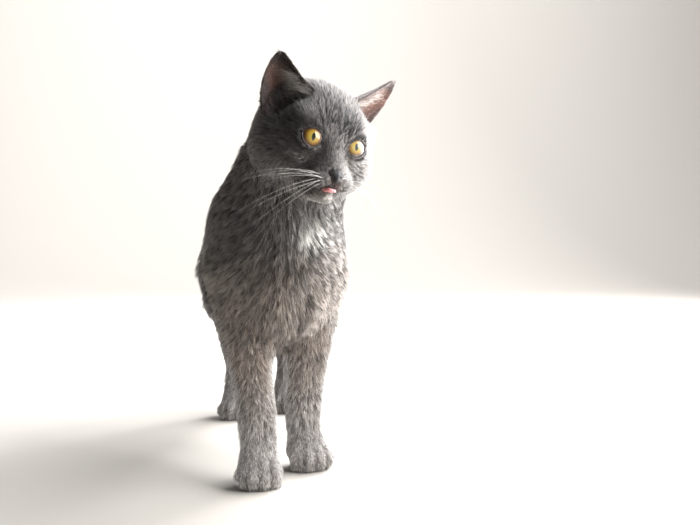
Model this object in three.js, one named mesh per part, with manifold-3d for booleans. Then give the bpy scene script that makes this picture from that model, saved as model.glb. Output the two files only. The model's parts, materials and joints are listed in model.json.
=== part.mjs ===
// A domestic cat, standing, life size. Millimetres, +Z up, the cat faces -Y and its left side is +X.
// Every solid reaches out to the tips of the coat. The body is one blended form, modelled as a signed
// distance (negative inside), and it is parted with thin plane cuts into the parts that a person names.
import * as THREE from "three";
import { mergeVertices } from "three/addons/utils/BufferGeometryUtils.js";
import Module from "manifold-3d";

const wasm = await Module();
wasm.setup();

// ---------------------------------------------------------------- driving dimensions
const CUT = 0.4; // width of the cut between two neighbouring parts
const CHEST_HALF_WIDTH = 58;
const BELLY_HALF_WIDTH = 73;
const RUMP_HALF_WIDTH = 62;
const WITHERS_HEIGHT = 284;
const BACK_HEIGHT = 272;
const RUMP_HEIGHT = 276;
const CHEST_FLOOR = 112; // clearance under the breastbone
const BELLY_FLOOR = 124;
const RUMP_FLOOR = 134;

const HEAD_CENTRE = new THREE.Vector3(24.6, -160, 302);
const HEAD_YAW = 23; // degrees towards the cat's left
const HEAD_PITCH = 10; // degrees, nose down
const HEAD_ROLL = 11; // degrees, left side down

const EYE_RADIUS = 10.5;
const EYE_CENTRE = new THREE.Vector3(21, -36, 2);
const EAR_THICKNESS = 4; // at the base, coat and all
const EAR_EDGE = 2.2;

const FOREARM_RADIUS = 15.5;
const PAW_HALF_WIDTH = 19;

// Spacings of the sampling grids along X, Y and Z: the finer a form, the closer its grid lines.
// The head's lines stand closer over the face than over the back of the skull.
const FACE_BACK = -16;
const FACE_TOP = 16;
const SPACING = {
  torso: [15.5, 22, 16],
  head: [7.4, (y) => (y < FACE_BACK ? 6.6 : 13), (z) => (z < FACE_TOP ? 6.6 : 11)],
  shin: [10.5, 11, 20],
  paw: [8.6, 9.8, 10],
  tail: [12.5, 12.5, 13],
  small: [3.3, 3.3, 3.3],
};

// ---------------------------------------------------------------- signed distances
const degrees = THREE.MathUtils.degToRad;
const vector = (x, y, z) => new THREE.Vector3(x, y, z);

// An egg-shaped mass, turned by degrees about X, Y and Z.
function mass(centre, radii, turn = [0, 0, 0]) {
  const [a, b, c] = radii;
  const angles = new THREE.Euler(...turn.map(degrees));
  const back = new THREE.Matrix4().makeRotationFromEuler(angles).setPosition(...centre).invert();
  return (point) => {
    const q = point.clone().applyMatrix4(back);
    const near = Math.hypot(q.x / a, q.y / b, q.z / c);
    const slope = Math.hypot(q.x / a ** 2, q.y / b ** 2, q.z / c ** 2);
    return slope > 0 ? (near * (near - 1)) / slope : -Math.min(a, b, c);
  };
}

// A length of limb: a cone with round ends.
function limb(from, to, fromRadius, toRadius) {
  const start = vector(...from);
  const along = vector(...to).sub(start);
  const lengthSquared = along.lengthSq();
  return (point) => {
    const q = point.clone().sub(start);
    const share = THREE.MathUtils.clamp(q.dot(along) / lengthSquared, 0, 1);
    return q.addScaledVector(along, -share).length() - THREE.MathUtils.lerp(fromRadius, toRadius, share);
  };
}

// The union of two forms whose crease is filled over a width of blend.
function softer(a, b, blend) {
  const h = Math.max(blend - Math.abs(a - b), 0) / blend;
  return Math.min(a, b) - (h * h * blend) / 4;
}

const blended = (forms, blend) => (point) =>
  forms.map((form) => form(point)).reduce((sum, d) => softer(sum, d, blend));

// ---------------------------------------------------------------- meshing and cutting
// A grid cell's corners, and the three corners that its edges join to each.
const CORNERS = [0, 1, 2, 3, 4, 5, 6, 7].map((n) => [n & 1, (n >> 1) & 1, n >> 2]);
const BESIDE = CORNERS.map((_, n) => [n ^ 1, n ^ 2, n ^ 4]);
function insideGroups(values) {
  const groups = [];
  const left = new Set(CORNERS.keys().filter((n) => values[n] < 0));
  for (const first of left) {
    const group = [first];
    left.delete(first);
    for (const m of group)
      for (const n of BESIDE[m])
        if (left.delete(n)) group.push(n);
    groups.push(group);
  }
  return groups;
}

// Where only two opposite corners of a grid face are inside, the surface could pass either way. The
// shallower of the two outside corners is taken in, until no such face is left.
function fillChequeredFaces(value, [nx, ny, nz]) {
  const step = [ny * nz, nz, 1];
  for (let changed = true; changed; ) {
    changed = false;
    for (let n = 0; n + step[0] + step[1] < value.length; n++)
      for (const [u, w] of [[0, 1], [0, 2], [1, 2]]) {
        const [a, b, c, d] = [n, n + step[u], n + step[u] + step[w], n + step[w]];
        const signs = [a, b, c, d].map((m) => value[m] < 0);
        if (signs[0] !== signs[2] || signs[1] !== signs[3] || signs[0] === signs[1]) continue;
        const outside = signs[0] ? [b, d] : [a, c];
        value[value[outside[0]] < value[outside[1]] ? outside[0] : outside[1]] = -1e-3;
        changed = true;
      }
  }
}

// Grid lines from low to just past high. Their spacing is a number or a function of the place.
function gridLines(low, high, spacing) {
  const lines = [low];
  while (lines.at(-1) < high) {
    const here = lines.at(-1);
    lines.push(here + (typeof spacing === "number" ? spacing : spacing(here)));
  }
  return lines;
}

// The surface where a distance is zero, as a closed solid: one vertex for each grid cell that it crosses,
// pulled onto the surface, and one quad for each grid edge that it crosses.
function solidFrom(distance, low, high, spacing) {
  const lines = ["x", "y", "z"].map((k, n) => gridLines(low[k], high[k], spacing[n]));
  const count = lines.map((positions) => positions.length);
  const [nx, ny, nz] = count;
  const at = (i, j, k) => (i * ny + j) * nz + k;
  const place = (i, j, k) => vector(lines[0][i], lines[1][j], lines[2][k]);
  const value = new Float64Array(nx * ny * nz);
  for (let i = 0; i < nx; i++)
    for (let j = 0; j < ny; j++)
      for (let k = 0; k < nz; k++) {
        const border = !i || !j || !k || i === nx - 1 || j === ny - 1 || k === nz - 1;
        value[at(i, j, k)] = border ? 1 : distance(place(i, j, k));
      }

  fillChequeredFaces(value, count);

  // A cell gets one vertex for each group of inside corners that its own edges join.
  const positions = [];
  const vertexOf = new Int32Array(value.length * 8).fill(-1);
  for (let i = 0; i < nx - 1; i++)
    for (let j = 0; j < ny - 1; j++)
      for (let k = 0; k < nz - 1; k++) {
        const v = CORNERS.map(([a, b, c]) => value[at(i + a, j + b, k + c)]);
        for (const group of insideGroups(v)) {
          const middle = vector(0, 0, 0);
          let crossings = 0;
          for (const m of group)
            for (const n of BESIDE[m]) {
              if (v[n] < 0) continue;
              middle.add(vector(...CORNERS[m]).lerp(vector(...CORNERS[n]), v[m] / (v[m] - v[n])));
              crossings++;
            }
          if (!crossings) continue;
          const corner = place(i, j, k);
          const size = place(i + 1, j + 1, k + 1).sub(corner);
          const found = corner.add(middle.divideScalar(crossings).multiply(size));
          for (const m of group) vertexOf[at(i, j, k) * 8 + m] = positions.length / 3;
          positions.push(...onSurface(found, distance, Math.min(size.x, size.y, size.z) / 2).toArray());
        }
      }

  // A grid edge runs along axis from (i, j, k). Each of its four cells knows it by its inside corner.
  const faces = [];
  const addQuad = (i, j, k, axis, inside) => {
    const [u, w] = [(axis + 1) % 3, (axis + 2) % 3];
    const ring = [[1, 1], [0, 1], [0, 0], [1, 0]].map(([du, dw]) => {
      const corner = [0, 0, 0];
      corner[u] = du;
      corner[w] = dw;
      const cellIndex = at(i - corner[0], j - corner[1], k - corner[2]);
      corner[axis] = inside ? 0 : 1;
      return vertexOf[cellIndex * 8 + corner[0] + 2 * corner[1] + 4 * corner[2]];
    });
    if (!inside) ring.reverse();
    faces.push(ring[0], ring[1], ring[2], ring[0], ring[2], ring[3]);
  };
  for (let i = 0; i < nx - 1; i++)
    for (let j = 0; j < ny - 1; j++)
      for (let k = 0; k < nz - 1; k++) {
        const here = value[at(i, j, k)] < 0;
        if (here !== value[at(i + 1, j, k)] < 0) addQuad(i, j, k, 0, here);
        if (here !== value[at(i, j + 1, k)] < 0) addQuad(i, j, k, 1, here);
        if (here !== value[at(i, j, k + 1)] < 0) addQuad(i, j, k, 2, here);
      }
  return asSolid(new Float32Array(positions), new Uint32Array(faces));
}

// A point near the surface, moved onto it along the slope of the distance, as far as reach at most.
function onSurface(point, distance, reach) {
  const step = 0.25;
  const moved = point.clone();
  for (let turn = 0; turn < 3; turn++) {
    const d = distance(moved);
    const slope = vector(
      distance(moved.clone().setX(moved.x + step)) - d,
      distance(moved.clone().setY(moved.y + step)) - d,
      distance(moved.clone().setZ(moved.z + step)) - d,
    ).divideScalar(step);
    if (slope.lengthSq() < 0.05) break;
    moved.addScaledVector(slope, -d / slope.lengthSq());
  }
  const shift = moved.sub(point).clampLength(0, reach);
  return point.clone().add(shift);
}

function asSolid(vertProperties, triVerts) {
  const made = new wasm.Manifold(new wasm.Mesh({ numProp: 3, vertProperties, triVerts }));
  const bodies = made.decompose();
  return bodies.sort((a, b) => b.volume() - a.volume())[0];
}

function solidOfGeometry(geometry, matrix = new THREE.Matrix4()) {
  const bare = new THREE.BufferGeometry();
  bare.setAttribute("position", geometry.getAttribute("position").clone());
  if (geometry.index) bare.setIndex(geometry.index);
  const merged = mergeVertices(bare.applyMatrix4(matrix), 1e-3);
  return asSolid(merged.attributes.position.array, new Uint32Array(merged.index.array));
}

// All that lies on the far side of a plane, as a box that is larger than the cat. The plane passes
// through point, and facing points into the kept side; inset moves it that way.
const FAR = 1600;
function beyond({ point, facing }, inset = 0) {
  const normal = vector(...facing).normalize();
  const turn = new THREE.Quaternion().setFromUnitVectors(vector(0, 0, 1), normal);
  const centre = vector(...point).addScaledVector(normal, FAR / 2 + inset);
  const matrix = new THREE.Matrix4().compose(centre, turn, vector(1, 1, 1));
  return solidOfGeometry(new THREE.BoxGeometry(FAR, FAR, FAR), matrix);
}

// The part of a solid beyond all the planes, and the rest of it, a cut apart.
const region = (planes, inset) =>
  planes.map((plane) => beyond(plane, inset)).reduce((sum, box) => sum.intersect(box));
const largest = (solid) => solid.decompose().sort((a, b) => b.volume() - a.volume())[0];
const kept = (solid, planes) => largest(solid.intersect(region(planes, CUT / 2)));
const without = (solid, planes) => largest(solid.subtract(region(planes, -CUT / 2)));
const turnedRound = ({ point, facing }) => ({ point, facing: facing.map((n) => -n) });

// A form is meshed only a little way past the cuts that will trim it.
const SPARE = 9;
function depthBeyond(planes) {
  const facings = planes.map(({ facing }) => vector(...facing).normalize());
  const levels = planes.map(({ point }, n) => facings[n].dot(vector(...point)));
  return (p) => Math.min(...facings.map((facing, n) => facing.dot(p) - levels[n]));
}
function trimmedNear(distance, planes) {
  const depth = depthBeyond(planes);
  return (p) => Math.max(distance(p), -depth(p) - SPARE);
}
function emptiedNear(distance, planes) {
  const depth = depthBeyond(planes);
  return (p) => Math.max(distance(p), depth(p) - SPARE);
}

// ---------------------------------------------------------------- the body's forms
const egg = (y, halfWidth, halfLength, top, bottom) =>
  mass([0, y, (top + bottom) / 2], [halfWidth, halfLength, (top - bottom) / 2]);

const trunkForm = blended(
  [
    egg(-72, CHEST_HALF_WIDTH, 92, WITHERS_HEIGHT, CHEST_FLOOR),
    egg(32, BELLY_HALF_WIDTH, 118, BACK_HEIGHT, BELLY_FLOOR),
    egg(122, RUMP_HALF_WIDTH, 80, RUMP_HEIGHT, RUMP_FLOOR),
    mass([2, -128, 186], [47, 46, 66], [-12, 0, 0]), // the bib of longer fur on the breast
  ],
  24,
);

const neckForm = blended(
  [
    limb([0, -84, 226], [10, -124, 272], 56, 50),
    limb([10, -124, 272], [16, -142, 296], 50, 46),
  ],
  14,
);

// The paw's own frame has its origin on the floor under the middle of the paw.
const TOES = [
  { x: -14, y: -12, radius: 8.4 },
  { x: -5.4, y: -18, radius: 9 },
  { x: 5.4, y: -18, radius: 9 },
  { x: 14, y: -12, radius: 8.4 },
];
function pawForm([x, y], turn, length) {
  const place = new THREE.Matrix4().makeRotationZ(degrees(turn)).setPosition(x, y, 0);
  const back = place.clone().invert();
  const palm = mass([0, 1, 14], [PAW_HALF_WIDTH - 1, length / 2, 15]);
  const toes = TOES.map((toe) => mass([toe.x, toe.y, 10], [toe.radius, 12, 11]));
  const form = blended([palm, ...toes], 4);
  return (point) => form(point.clone().applyMatrix4(back));
}

const LEGS = {
  front_right: {
    shoulder: mass([-36, -106, 196], [24, 46, 62], [14, 0, 0]),
    joints: [[-40, -122, 186], [-33, -114, 132], [-24, -160, 50], [-24, -170, 22]],
    radii: [32, 25, FOREARM_RADIUS, 16],
    paw: { at: [-24, -176], turn: -3, length: 42 },
  },
  front_left: {
    shoulder: mass([33, -100, 194], [22, 46, 60], [14, 0, 0]),
    joints: [[34, -112, 182], [31, -92, 132], [21, -106, 50], [23, -112, 22]],
    radii: [29, 24, FOREARM_RADIUS, 16],
    paw: { at: [24, -118], turn: 14, length: 42 },
  },
  hind_right: {
    shoulder: mass([-41, 124, 182], [28, 56, 64], [-14, 0, 0]),
    joints: [[-42, 112, 168], [-44, 98, 142], [-34, 170, 80], [-34, 146, 22]],
    radii: [40, 27, 14, 14],
    paw: { at: [-34, 133], turn: -4, length: 48 },
  },
  hind_left: {
    shoulder: mass([41, 134, 182], [28, 56, 64], [-14, 0, 0]),
    joints: [[42, 126, 168], [43, 114, 142], [30, 200, 80], [28, 177, 22]],
    radii: [40, 27, 14, 14],
    paw: { at: [28, 164], turn: 6, length: 48 },
  },
};

for (const leg of Object.values(LEGS)) {
  const { joints, radii, paw } = leg;
  const lengths = joints.slice(1).map((to, n) => limb(joints[n], to, radii[n], radii[n + 1]));
  leg.form = blended([leg.shoulder, ...lengths, pawForm(paw.at, paw.turn, paw.length)], 13);
}

const TAIL = [
  { at: [0, 180, 244], radius: 24 },
  { at: [0, 216, 222], radius: 20 },
  { at: [1, 240, 182], radius: 18 },
  { at: [4, 258, 138], radius: 17 },
  { at: [9, 280, 98], radius: 16 },
  { at: [16, 310, 68], radius: 15.5 },
  { at: [26, 346, 54], radius: 15 },
  { at: [38, 382, 58], radius: 13 },
  { at: [48, 408, 70], radius: 9 },
];
const tailCurve = new THREE.CatmullRomCurve3(TAIL.map(({ at }) => vector(...at)));
const tailRadii = new THREE.SplineCurve(TAIL.map(({ radius }, n) => new THREE.Vector2(n, radius)));
const TAIL_STEPS = 20;
const tailRings = [...Array(TAIL_STEPS + 1).keys()].map((n) => ({
  at: tailCurve.getPoint(n / TAIL_STEPS).toArray(),
  radius: tailRadii.getPoint(n / TAIL_STEPS).y,
}));
const tailForm = blended(
  tailRings.slice(1).map((to, n) => limb(tailRings[n].at, to.at, tailRings[n].radius, to.radius)),
  3,
);

// ---------------------------------------------------------------- the head's forms, in its own frame
const headPlace = new THREE.Matrix4()
  .makeRotationFromEuler(
    new THREE.Euler(degrees(HEAD_PITCH), degrees(HEAD_ROLL), degrees(HEAD_YAW), "ZYX"),
  )
  .setPosition(HEAD_CENTRE);
const toHead = headPlace.clone().invert();

const pair = (x, y, z, radii, turn = [0, 0, 0]) => [
  mass([x, y, z], radii, turn),
  mass([-x, y, z], radii, [turn[0], -turn[1], -turn[2]]),
];
const skullForm = blended(
  [
    mass([0, 6, 12], [49, 50, 43]), // braincase
    ...pair(27, -6, -13, [31, 33, 28.5]), // cheeks
    mass([42, 2, 17], [17, 22, 19]), // root of the left ear, turned out
    ...pair(19.5, -30, 16, [15, 14, 11]), // brows
    mass([0, -22, -28], [25, 26, 21]), // jaws
    limb([0, -30, 8], [0, -47, -16], 12.5, 9.5), // bridge of the nose
  ],
  12,
);
const muzzleForm = blended(
  [
    ...pair(10.5, -44, -28.5, [13.5, 14.5, 11]), // whisker pads
    mass([0, -46.5, -24], [10.5, 14.5, 11.5]),
    mass([0, -41, -42], [12.5, 13.5, 8.5]), // chin
  ],
  5,
);
const headForm = (q) => softer(skullForm(q), muzzleForm(q), 9);

const noseForm = blended(
  [mass([0, -58.5, -22.5], [6.8, 4.4, 3.6]), mass([0, -59.5, -26], [3.6, 3.6, 4.4])],
  2.5,
);
const tongueForm = mass([-1.6, -55, -36.8], [5.8, 9, 2.7], [-8, 0, 0]);
// An ear is set by the two ends of its base and by its tip. The left ear is turned out to the side.
const EARS = {
  right: { inner: [-21, -22, 41], outer: [-52, 3, 11], tip: [-47, 12, 67] },
  left: { inner: [24, -19, 42], outer: [53, 14, 14], tip: [65, -6, 70] },
};

const TAIL_BLEND = 12;
const neckAndHead = (point) =>
  softer(neckForm(point), headForm(point.clone().applyMatrix4(toHead)), 16);
const bodyWith = (legs) => (point) => {
  const trunk = softer(softer(trunkForm(point), neckAndHead(point), 26), tailForm(point), TAIL_BLEND);
  const limbs = Math.min(...legs.map((name) => LEGS[name].form(point)));
  return softer(trunk, limbs, 18);
};
const wholeBody = bodyWith(Object.keys(LEGS));

// ---------------------------------------------------------------- cuts between the parts
const NECK_CUT = { point: [0, -125, 247], facing: [0, -0.65, 0.76] };
const HEAD_CUT = { point: [0, -30, -60], facing: [0, -0.62, 0.78] }; // in the head's frame
const JAW_CUTS = [
  { point: [0, -50, -37], facing: [0, 0.1, -1] },
  { point: [0, -25, -40], facing: [0, -1, 0] },
  { point: [17, 0, -38], facing: [-0.94, -0.2, -0.28] },
  { point: [-17, 0, -38], facing: [0.94, -0.2, -0.28] },
];
const TAIL_CUTS = [
  { point: [0, 201, 236], facing: [0, 0.86, -0.5] },
  { point: [0, 198, 210], facing: [0, 0.9, 0.45] },
];
const TAIL_SPLITS = [
  { point: [4, 258, 138], facing: [0.1, 0.44, -0.9] },
  { point: [20, 322, 62], facing: [0.24, 0.95, -0.25] },
];
const FLOOR = { point: [0, 0, 0], facing: [0, 0, 1] };
const worldPlane = ({ point, facing }) => ({
  point: vector(...point).applyMatrix4(headPlace).toArray(),
  facing: vector(...facing).transformDirection(headPlace).toArray(),
});

const FRONT_LEG_BACK = { point: [0, -52, 0], facing: [0, -1, 0] };
const HIND_LEG_FRONT = { point: [0, 72, 0], facing: [0, 1, 0] };

// A leg leaves the trunk through a plane that slopes down to the armpit or groin, and a steep inner one.
const legCuts = (side, y, outer, inner) => [
  { point: [side * outer.x, y, outer.z], facing: [side * 0.55, 0, -0.83] },
  { point: [side * inner.x, y, inner.z], facing: [side * 0.93, 0, -0.37] },
];
Object.assign(LEGS.front_right, {
  cuts: [...legCuts(-1, -110, { x: 44, z: 168 }, { x: 5, z: 104 }), FRONT_LEG_BACK],
  elbow: { point: [-31, -120, 108], facing: [0, -0.2, -0.98] },
  wrist: { point: [-24, -166, 36], facing: [0, -0.12, -0.99] },
});
Object.assign(LEGS.front_left, {
  cuts: [...legCuts(1, -110, { x: 44, z: 168 }, { x: 5, z: 104 }), FRONT_LEG_BACK],
  elbow: { point: [31, -95, 108], facing: [0, -0.1, -0.99] },
  wrist: { point: [22, -110, 36], facing: [0, -0.12, -0.99] },
});
Object.assign(LEGS.hind_right, {
  cuts: [...legCuts(-1, 110, { x: 44, z: 188 }, { x: 8, z: 124 }), HIND_LEG_FRONT],
  elbow: { point: [-42, 118, 122], facing: [0, 0.34, -0.94] },
  wrist: { point: [-34, 153, 36], facing: [0, -0.4, -0.92] },
});
Object.assign(LEGS.hind_left, {
  cuts: [...legCuts(1, 110, { x: 44, z: 188 }, { x: 8, z: 124 }), HIND_LEG_FRONT],
  elbow: { point: [41, 136, 122], facing: [0, 0.34, -0.94] },
  wrist: { point: [28, 184, 36], facing: [0, -0.4, -0.92] },
});

// ---------------------------------------------------------------- materials
const coatMaterial = new THREE.MeshStandardMaterial({ color: "#6d6b6f", roughness: 0.9, metalness: 0 });
const eyeMaterial = new THREE.MeshStandardMaterial({ color: "#c8962e", roughness: 0.1, metalness: 0 });
const noseMaterial = new THREE.MeshStandardMaterial({ color: "#2d2a2d", roughness: 0.5, metalness: 0 });
const tongueMaterial = new THREE.MeshStandardMaterial({ color: "#d98a92", roughness: 0.4, metalness: 0 });

const cat = new THREE.Group();
const head = new THREE.Group();
head.applyMatrix4(headPlace);
cat.add(head);

function addPart(group, name, solid, material) {
  const { numProp, vertProperties, triVerts } = solid.getMesh();
  const position = new Float32Array((vertProperties.length / numProp) * 3);
  for (let i = 0; i < position.length / 3; i++)
    position.set(vertProperties.subarray(i * numProp, i * numProp + 3), i * 3);
  const geometry = new THREE.BufferGeometry();
  geometry.setAttribute("position", new THREE.BufferAttribute(position, 3));
  geometry.setIndex(new THREE.BufferAttribute(triVerts, 1));
  geometry.computeVertexNormals();
  const mesh = new THREE.Mesh(geometry, material);
  mesh.name = name;
  group.add(mesh);
}

// ---------------------------------------------------------------- trunk, neck, upper arms and thighs
// These come from one coarse mesh. It ends at the head, at the tail and below the elbows and knees.
function makeTorso() {
  const headCut = [worldPlane(HEAD_CUT)];
  const lowerLegs = Object.values(LEGS).map(({ cuts, elbow }) => [...cuts, elbow]);
  const distance = [headCut, TAIL_CUTS, ...lowerLegs].reduce(emptiedNear, wholeBody);
  const solid = solidFrom(distance, vector(-96, -226, 84), vector(96, 232, 360), SPACING.torso);

  const upperParts = Object.entries(LEGS).map(([name, { cuts, elbow }]) => {
    const upperName = name.startsWith("front") ? "upper_arm" : "thigh";
    addPart(cat, `${upperName}_${name}`, kept(kept(solid, cuts), [turnedRound(elbow)]), coatMaterial);
    return cuts;
  });
  addPart(cat, "neck", kept(without(solid, headCut), [NECK_CUT]), coatMaterial);
  addPart(cat, "trunk", [[NECK_CUT], TAIL_CUTS, ...upperParts].reduce(without, solid), coatMaterial);
}

// ---------------------------------------------------------------- legs: lower part and paw
function makeLowerLeg(name, leg) {
  const lowerName = name.startsWith("front") ? "forearm" : "shank";
  const distance = trimmedNear(bodyWith([name]), [...leg.cuts, leg.elbow]);
  const [x, y] = leg.paw.at;
  const low = vector(Math.min(x, 0) - 50, y - 70, -8);
  const high = vector(Math.max(x, 0) + 50, y + 96, 190);
  const limbSolid = kept(solidFrom(distance, low, high, SPACING.shin), [...leg.cuts, leg.elbow]);
  addPart(cat, `${lowerName}_${name}`, kept(limbSolid, [turnedRound(leg.wrist)]), coatMaterial);

  const around = [vector(x - 30, y - 36, -10), vector(x + 30, y + 44, 60)];
  const paw = kept(solidFrom(distance, ...around, SPACING.paw), [leg.wrist]);
  addPart(cat, `paw_${name}`, largest(paw.intersect(beyond(FLOOR))), coatMaterial);
}

// ---------------------------------------------------------------- tail, in three lengths
function makeTail() {
  const distance = trimmedNear((p) => softer(trunkForm(p), tailForm(p), TAIL_BLEND), TAIL_CUTS);
  const solid = solidFrom(distance, vector(-40, 150, 20), vector(84, 436, 290), SPACING.tail);
  const tail = kept(solid, TAIL_CUTS);
  const [rootEnd, tipStart] = TAIL_SPLITS;
  addPart(cat, "tail_base", kept(tail, [turnedRound(rootEnd)]), coatMaterial);
  addPart(cat, "tail_middle", kept(kept(tail, [rootEnd]), [turnedRound(tipStart)]), coatMaterial);
  addPart(cat, "tail_tip", kept(tail, [tipStart]), coatMaterial);
}

// ---------------------------------------------------------------- the head's parts, in its own frame
const headDistance = trimmedNear((q) => wholeBody(q.clone().applyMatrix4(headPlace)), [HEAD_CUT]);
const grownBy = (distance, extra) => (q) => distance(q) - extra;

function makeEye(name, side) {
  const place = new THREE.Matrix4().makeTranslation(side * EYE_CENTRE.x, EYE_CENTRE.y, EYE_CENTRE.z);
  const ball = (radius) => solidOfGeometry(new THREE.SphereGeometry(radius, 12, 9), place);
  addPart(head, name, ball(EYE_RADIUS), eyeMaterial);
  return ball(EYE_RADIUS + CUT);
}

function makeSmallForm(name, form, material, low, high) {
  addPart(head, name, solidFrom(form, low, high, SPACING.small), material);
  return solidFrom(grownBy(form, 2 * CUT), low, high, SPACING.small);
}

// An ear is a cupped shell between its base and its tip. At each height its section is an arc, wide and
// deep at the base, narrow and shallow at the tip; the outer edge is the fuller one.
function earGeometry({ inner, outer, tip }) {
  const [around, along] = [8, 6];
  const [rootEnd, tipEnd] = [-0.34, 0.985];
  const [openAtBase, openAtTip] = [degrees(74), degrees(28)];
  const base = vector(...inner).lerp(vector(...outer), 0.5);
  const across = vector(...outer).sub(vector(...inner)).divideScalar(2);
  const up = vector(...tip).sub(base);
  const back = across.clone().cross(up).normalize();
  if (back.y < 0) back.negate();
  const point = (u, share, outwards) => {
    const v = THREE.MathUtils.lerp(rootEnd, tipEnd, 1 - (1 - share) ** 1.6);
    const height = Math.max(v, 0);
    const width = v < 0 ? 1 + 0.1 * v : Math.sqrt(1 - v);
    const open = THREE.MathUtils.lerp(openAtBase, openAtTip, height);
    const radius = (across.length() * width) / Math.sin(open);
    const thick = THREE.MathUtils.lerp(EAR_THICKNESS, EAR_EDGE, Math.max(height, Math.abs(u) ** 3));
    const reach = radius + (outwards * thick) / 2;
    const fuller = 0.6 * height * (1 - height);
    return base
      .clone()
      .addScaledVector(up, v)
      .addScaledVector(across, (reach * Math.sin(open * u)) / across.length() + fuller)
      .addScaledVector(back, reach * Math.cos(open * u) - radius * Math.cos(open));
  };
  const ring = [];
  for (let n = 0; n <= around; n++) ring.push([(2 * n) / around - 1, 1]);
  for (let n = around; n >= 0; n--) ring.push([(2 * n) / around - 1, -1]);
  const rows = [...Array(along + 1).keys()].map((m) => m / along);
  const positions = rows.flatMap((share) => ring.flatMap(([u, outwards]) => point(u, share, outwards).toArray()));
  const index = [];
  const size = ring.length;
  for (let m = 0; m < along; m++)
    for (let n = 0; n < size; n++) {
      const [a, b] = [m * size + n, m * size + ((n + 1) % size)];
      index.push(a, b + size, b, a, a + size, b + size);
    }
  for (let n = 0; n < around; n++) {
    const [a, b, c, d] = [n, n + 1, size - 2 - n, size - 1 - n];
    const top = along * size;
    index.push(a, b, c, a, c, d, top + a, top + c, top + b, top + a, top + d, top + c);
  }
  const facesOut = across.clone().cross(up).dot(back) < 0;
  if (!facesOut) index.reverse();
  const geometry = new THREE.BufferGeometry();
  geometry.setAttribute("position", new THREE.BufferAttribute(new Float32Array(positions), 3));
  geometry.setIndex(index);
  return geometry;
}

const makeEar = (name, ear, headGrown) =>
  addPart(head, name, largest(solidOfGeometry(earGeometry(ear)).subtract(headGrown)), coatMaterial);

function makeHead() {
  const box = [vector(-74, -82, -84), vector(74, 72, 62)];
  const whole = solidFrom(headDistance, ...box, SPACING.head);
  const grown = solidFrom(grownBy(headDistance, 0.6), ...box, SPACING.head);
  const eyes = [makeEye("eye_right", -1), makeEye("eye_left", 1)];
  const nose = makeSmallForm("nose", noseForm, noseMaterial, vector(-12, -74, -38), vector(12, -44, -10));
  const tongue = makeSmallForm("tongue", tongueForm, tongueMaterial, vector(-14, -72, -46), vector(10, -32, -28));
  const jaw = kept(whole, JAW_CUTS).subtract(tongue);
  addPart(head, "lower_jaw", largest(jaw), coatMaterial);
  const hollows = [...eyes, nose, tongue];
  const bare = hollows.reduce((sum, hollow) => sum.subtract(hollow), without(whole, JAW_CUTS));
  addPart(head, "head", kept(bare, [HEAD_CUT]), coatMaterial);
  makeEar("ear_right", EARS.right, grown);
  makeEar("ear_left", EARS.left, grown);
}

makeTorso();
makeHead();
for (const [name, leg] of Object.entries(LEGS)) makeLowerLeg(name, leg);
makeTail();

// The cat stands with the middle of its bounding box over the origin.
const bounds = new THREE.Box3().setFromObject(cat, true);
const middle = bounds.getCenter(new THREE.Vector3());
cat.position.set(-middle.x, -middle.y, -bounds.min.z);
export default cat;
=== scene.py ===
# %% [markdown]
# # A blue-grey cat, standing
# The animal is one skin with a coat of many thousand small tufts on it, and a few hard or wet
# pieces: eyes, lid rims, nose leather, tongue tip, claws and whiskers. Everything is in metres,
# +Z is up, the cat faces -Y and its left side is +X.

# %% The frame
import json
import math

import bpy
import numpy as np
from mathutils import Matrix, Vector, kdtree

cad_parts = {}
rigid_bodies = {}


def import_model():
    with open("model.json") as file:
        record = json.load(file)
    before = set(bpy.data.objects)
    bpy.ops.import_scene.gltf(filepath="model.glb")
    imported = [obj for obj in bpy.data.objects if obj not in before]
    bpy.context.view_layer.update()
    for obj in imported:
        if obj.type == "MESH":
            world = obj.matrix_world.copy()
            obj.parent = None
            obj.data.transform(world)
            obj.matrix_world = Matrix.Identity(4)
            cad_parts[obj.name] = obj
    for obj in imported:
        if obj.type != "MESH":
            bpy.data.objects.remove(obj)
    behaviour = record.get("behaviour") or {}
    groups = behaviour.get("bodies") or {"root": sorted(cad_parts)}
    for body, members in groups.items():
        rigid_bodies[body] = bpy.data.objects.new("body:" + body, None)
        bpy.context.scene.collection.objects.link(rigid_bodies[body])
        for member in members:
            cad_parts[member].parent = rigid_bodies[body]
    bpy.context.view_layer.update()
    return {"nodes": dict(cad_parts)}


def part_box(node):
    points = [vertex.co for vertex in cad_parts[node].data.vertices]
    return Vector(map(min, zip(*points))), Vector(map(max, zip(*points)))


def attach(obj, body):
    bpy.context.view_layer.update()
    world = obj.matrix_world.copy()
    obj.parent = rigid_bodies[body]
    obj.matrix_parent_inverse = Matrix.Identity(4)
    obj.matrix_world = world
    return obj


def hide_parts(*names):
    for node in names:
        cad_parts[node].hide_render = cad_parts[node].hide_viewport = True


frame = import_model()
MM = 0.001
BODY = "root"

# %% [markdown]
# ## Small helpers
# Blender's tools act on whatever is selected, so every step starts by selecting one piece only.
# Long lists of points are read and written as numpy arrays, which is far quicker than a loop.


# %% Helpers for pieces
def only(*pieces):
    """Selects these pieces alone. The first one becomes the active piece."""
    if bpy.context.object and bpy.context.object.mode != "OBJECT":
        bpy.ops.object.mode_set(mode="OBJECT")
    bpy.ops.object.select_all(action="DESELECT")
    for piece in pieces:
        piece.select_set(True)
    bpy.context.view_layer.objects.active = pieces[0]


def apply_modifier(piece, kind, **settings):
    """Adds one modifier with its settings and applies it."""
    modifier = piece.modifiers.new(kind.lower(), kind)
    for name, value in settings.items():
        setattr(modifier, name, value)
    only(piece)
    bpy.ops.object.modifier_apply(modifier=modifier.name)


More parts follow.
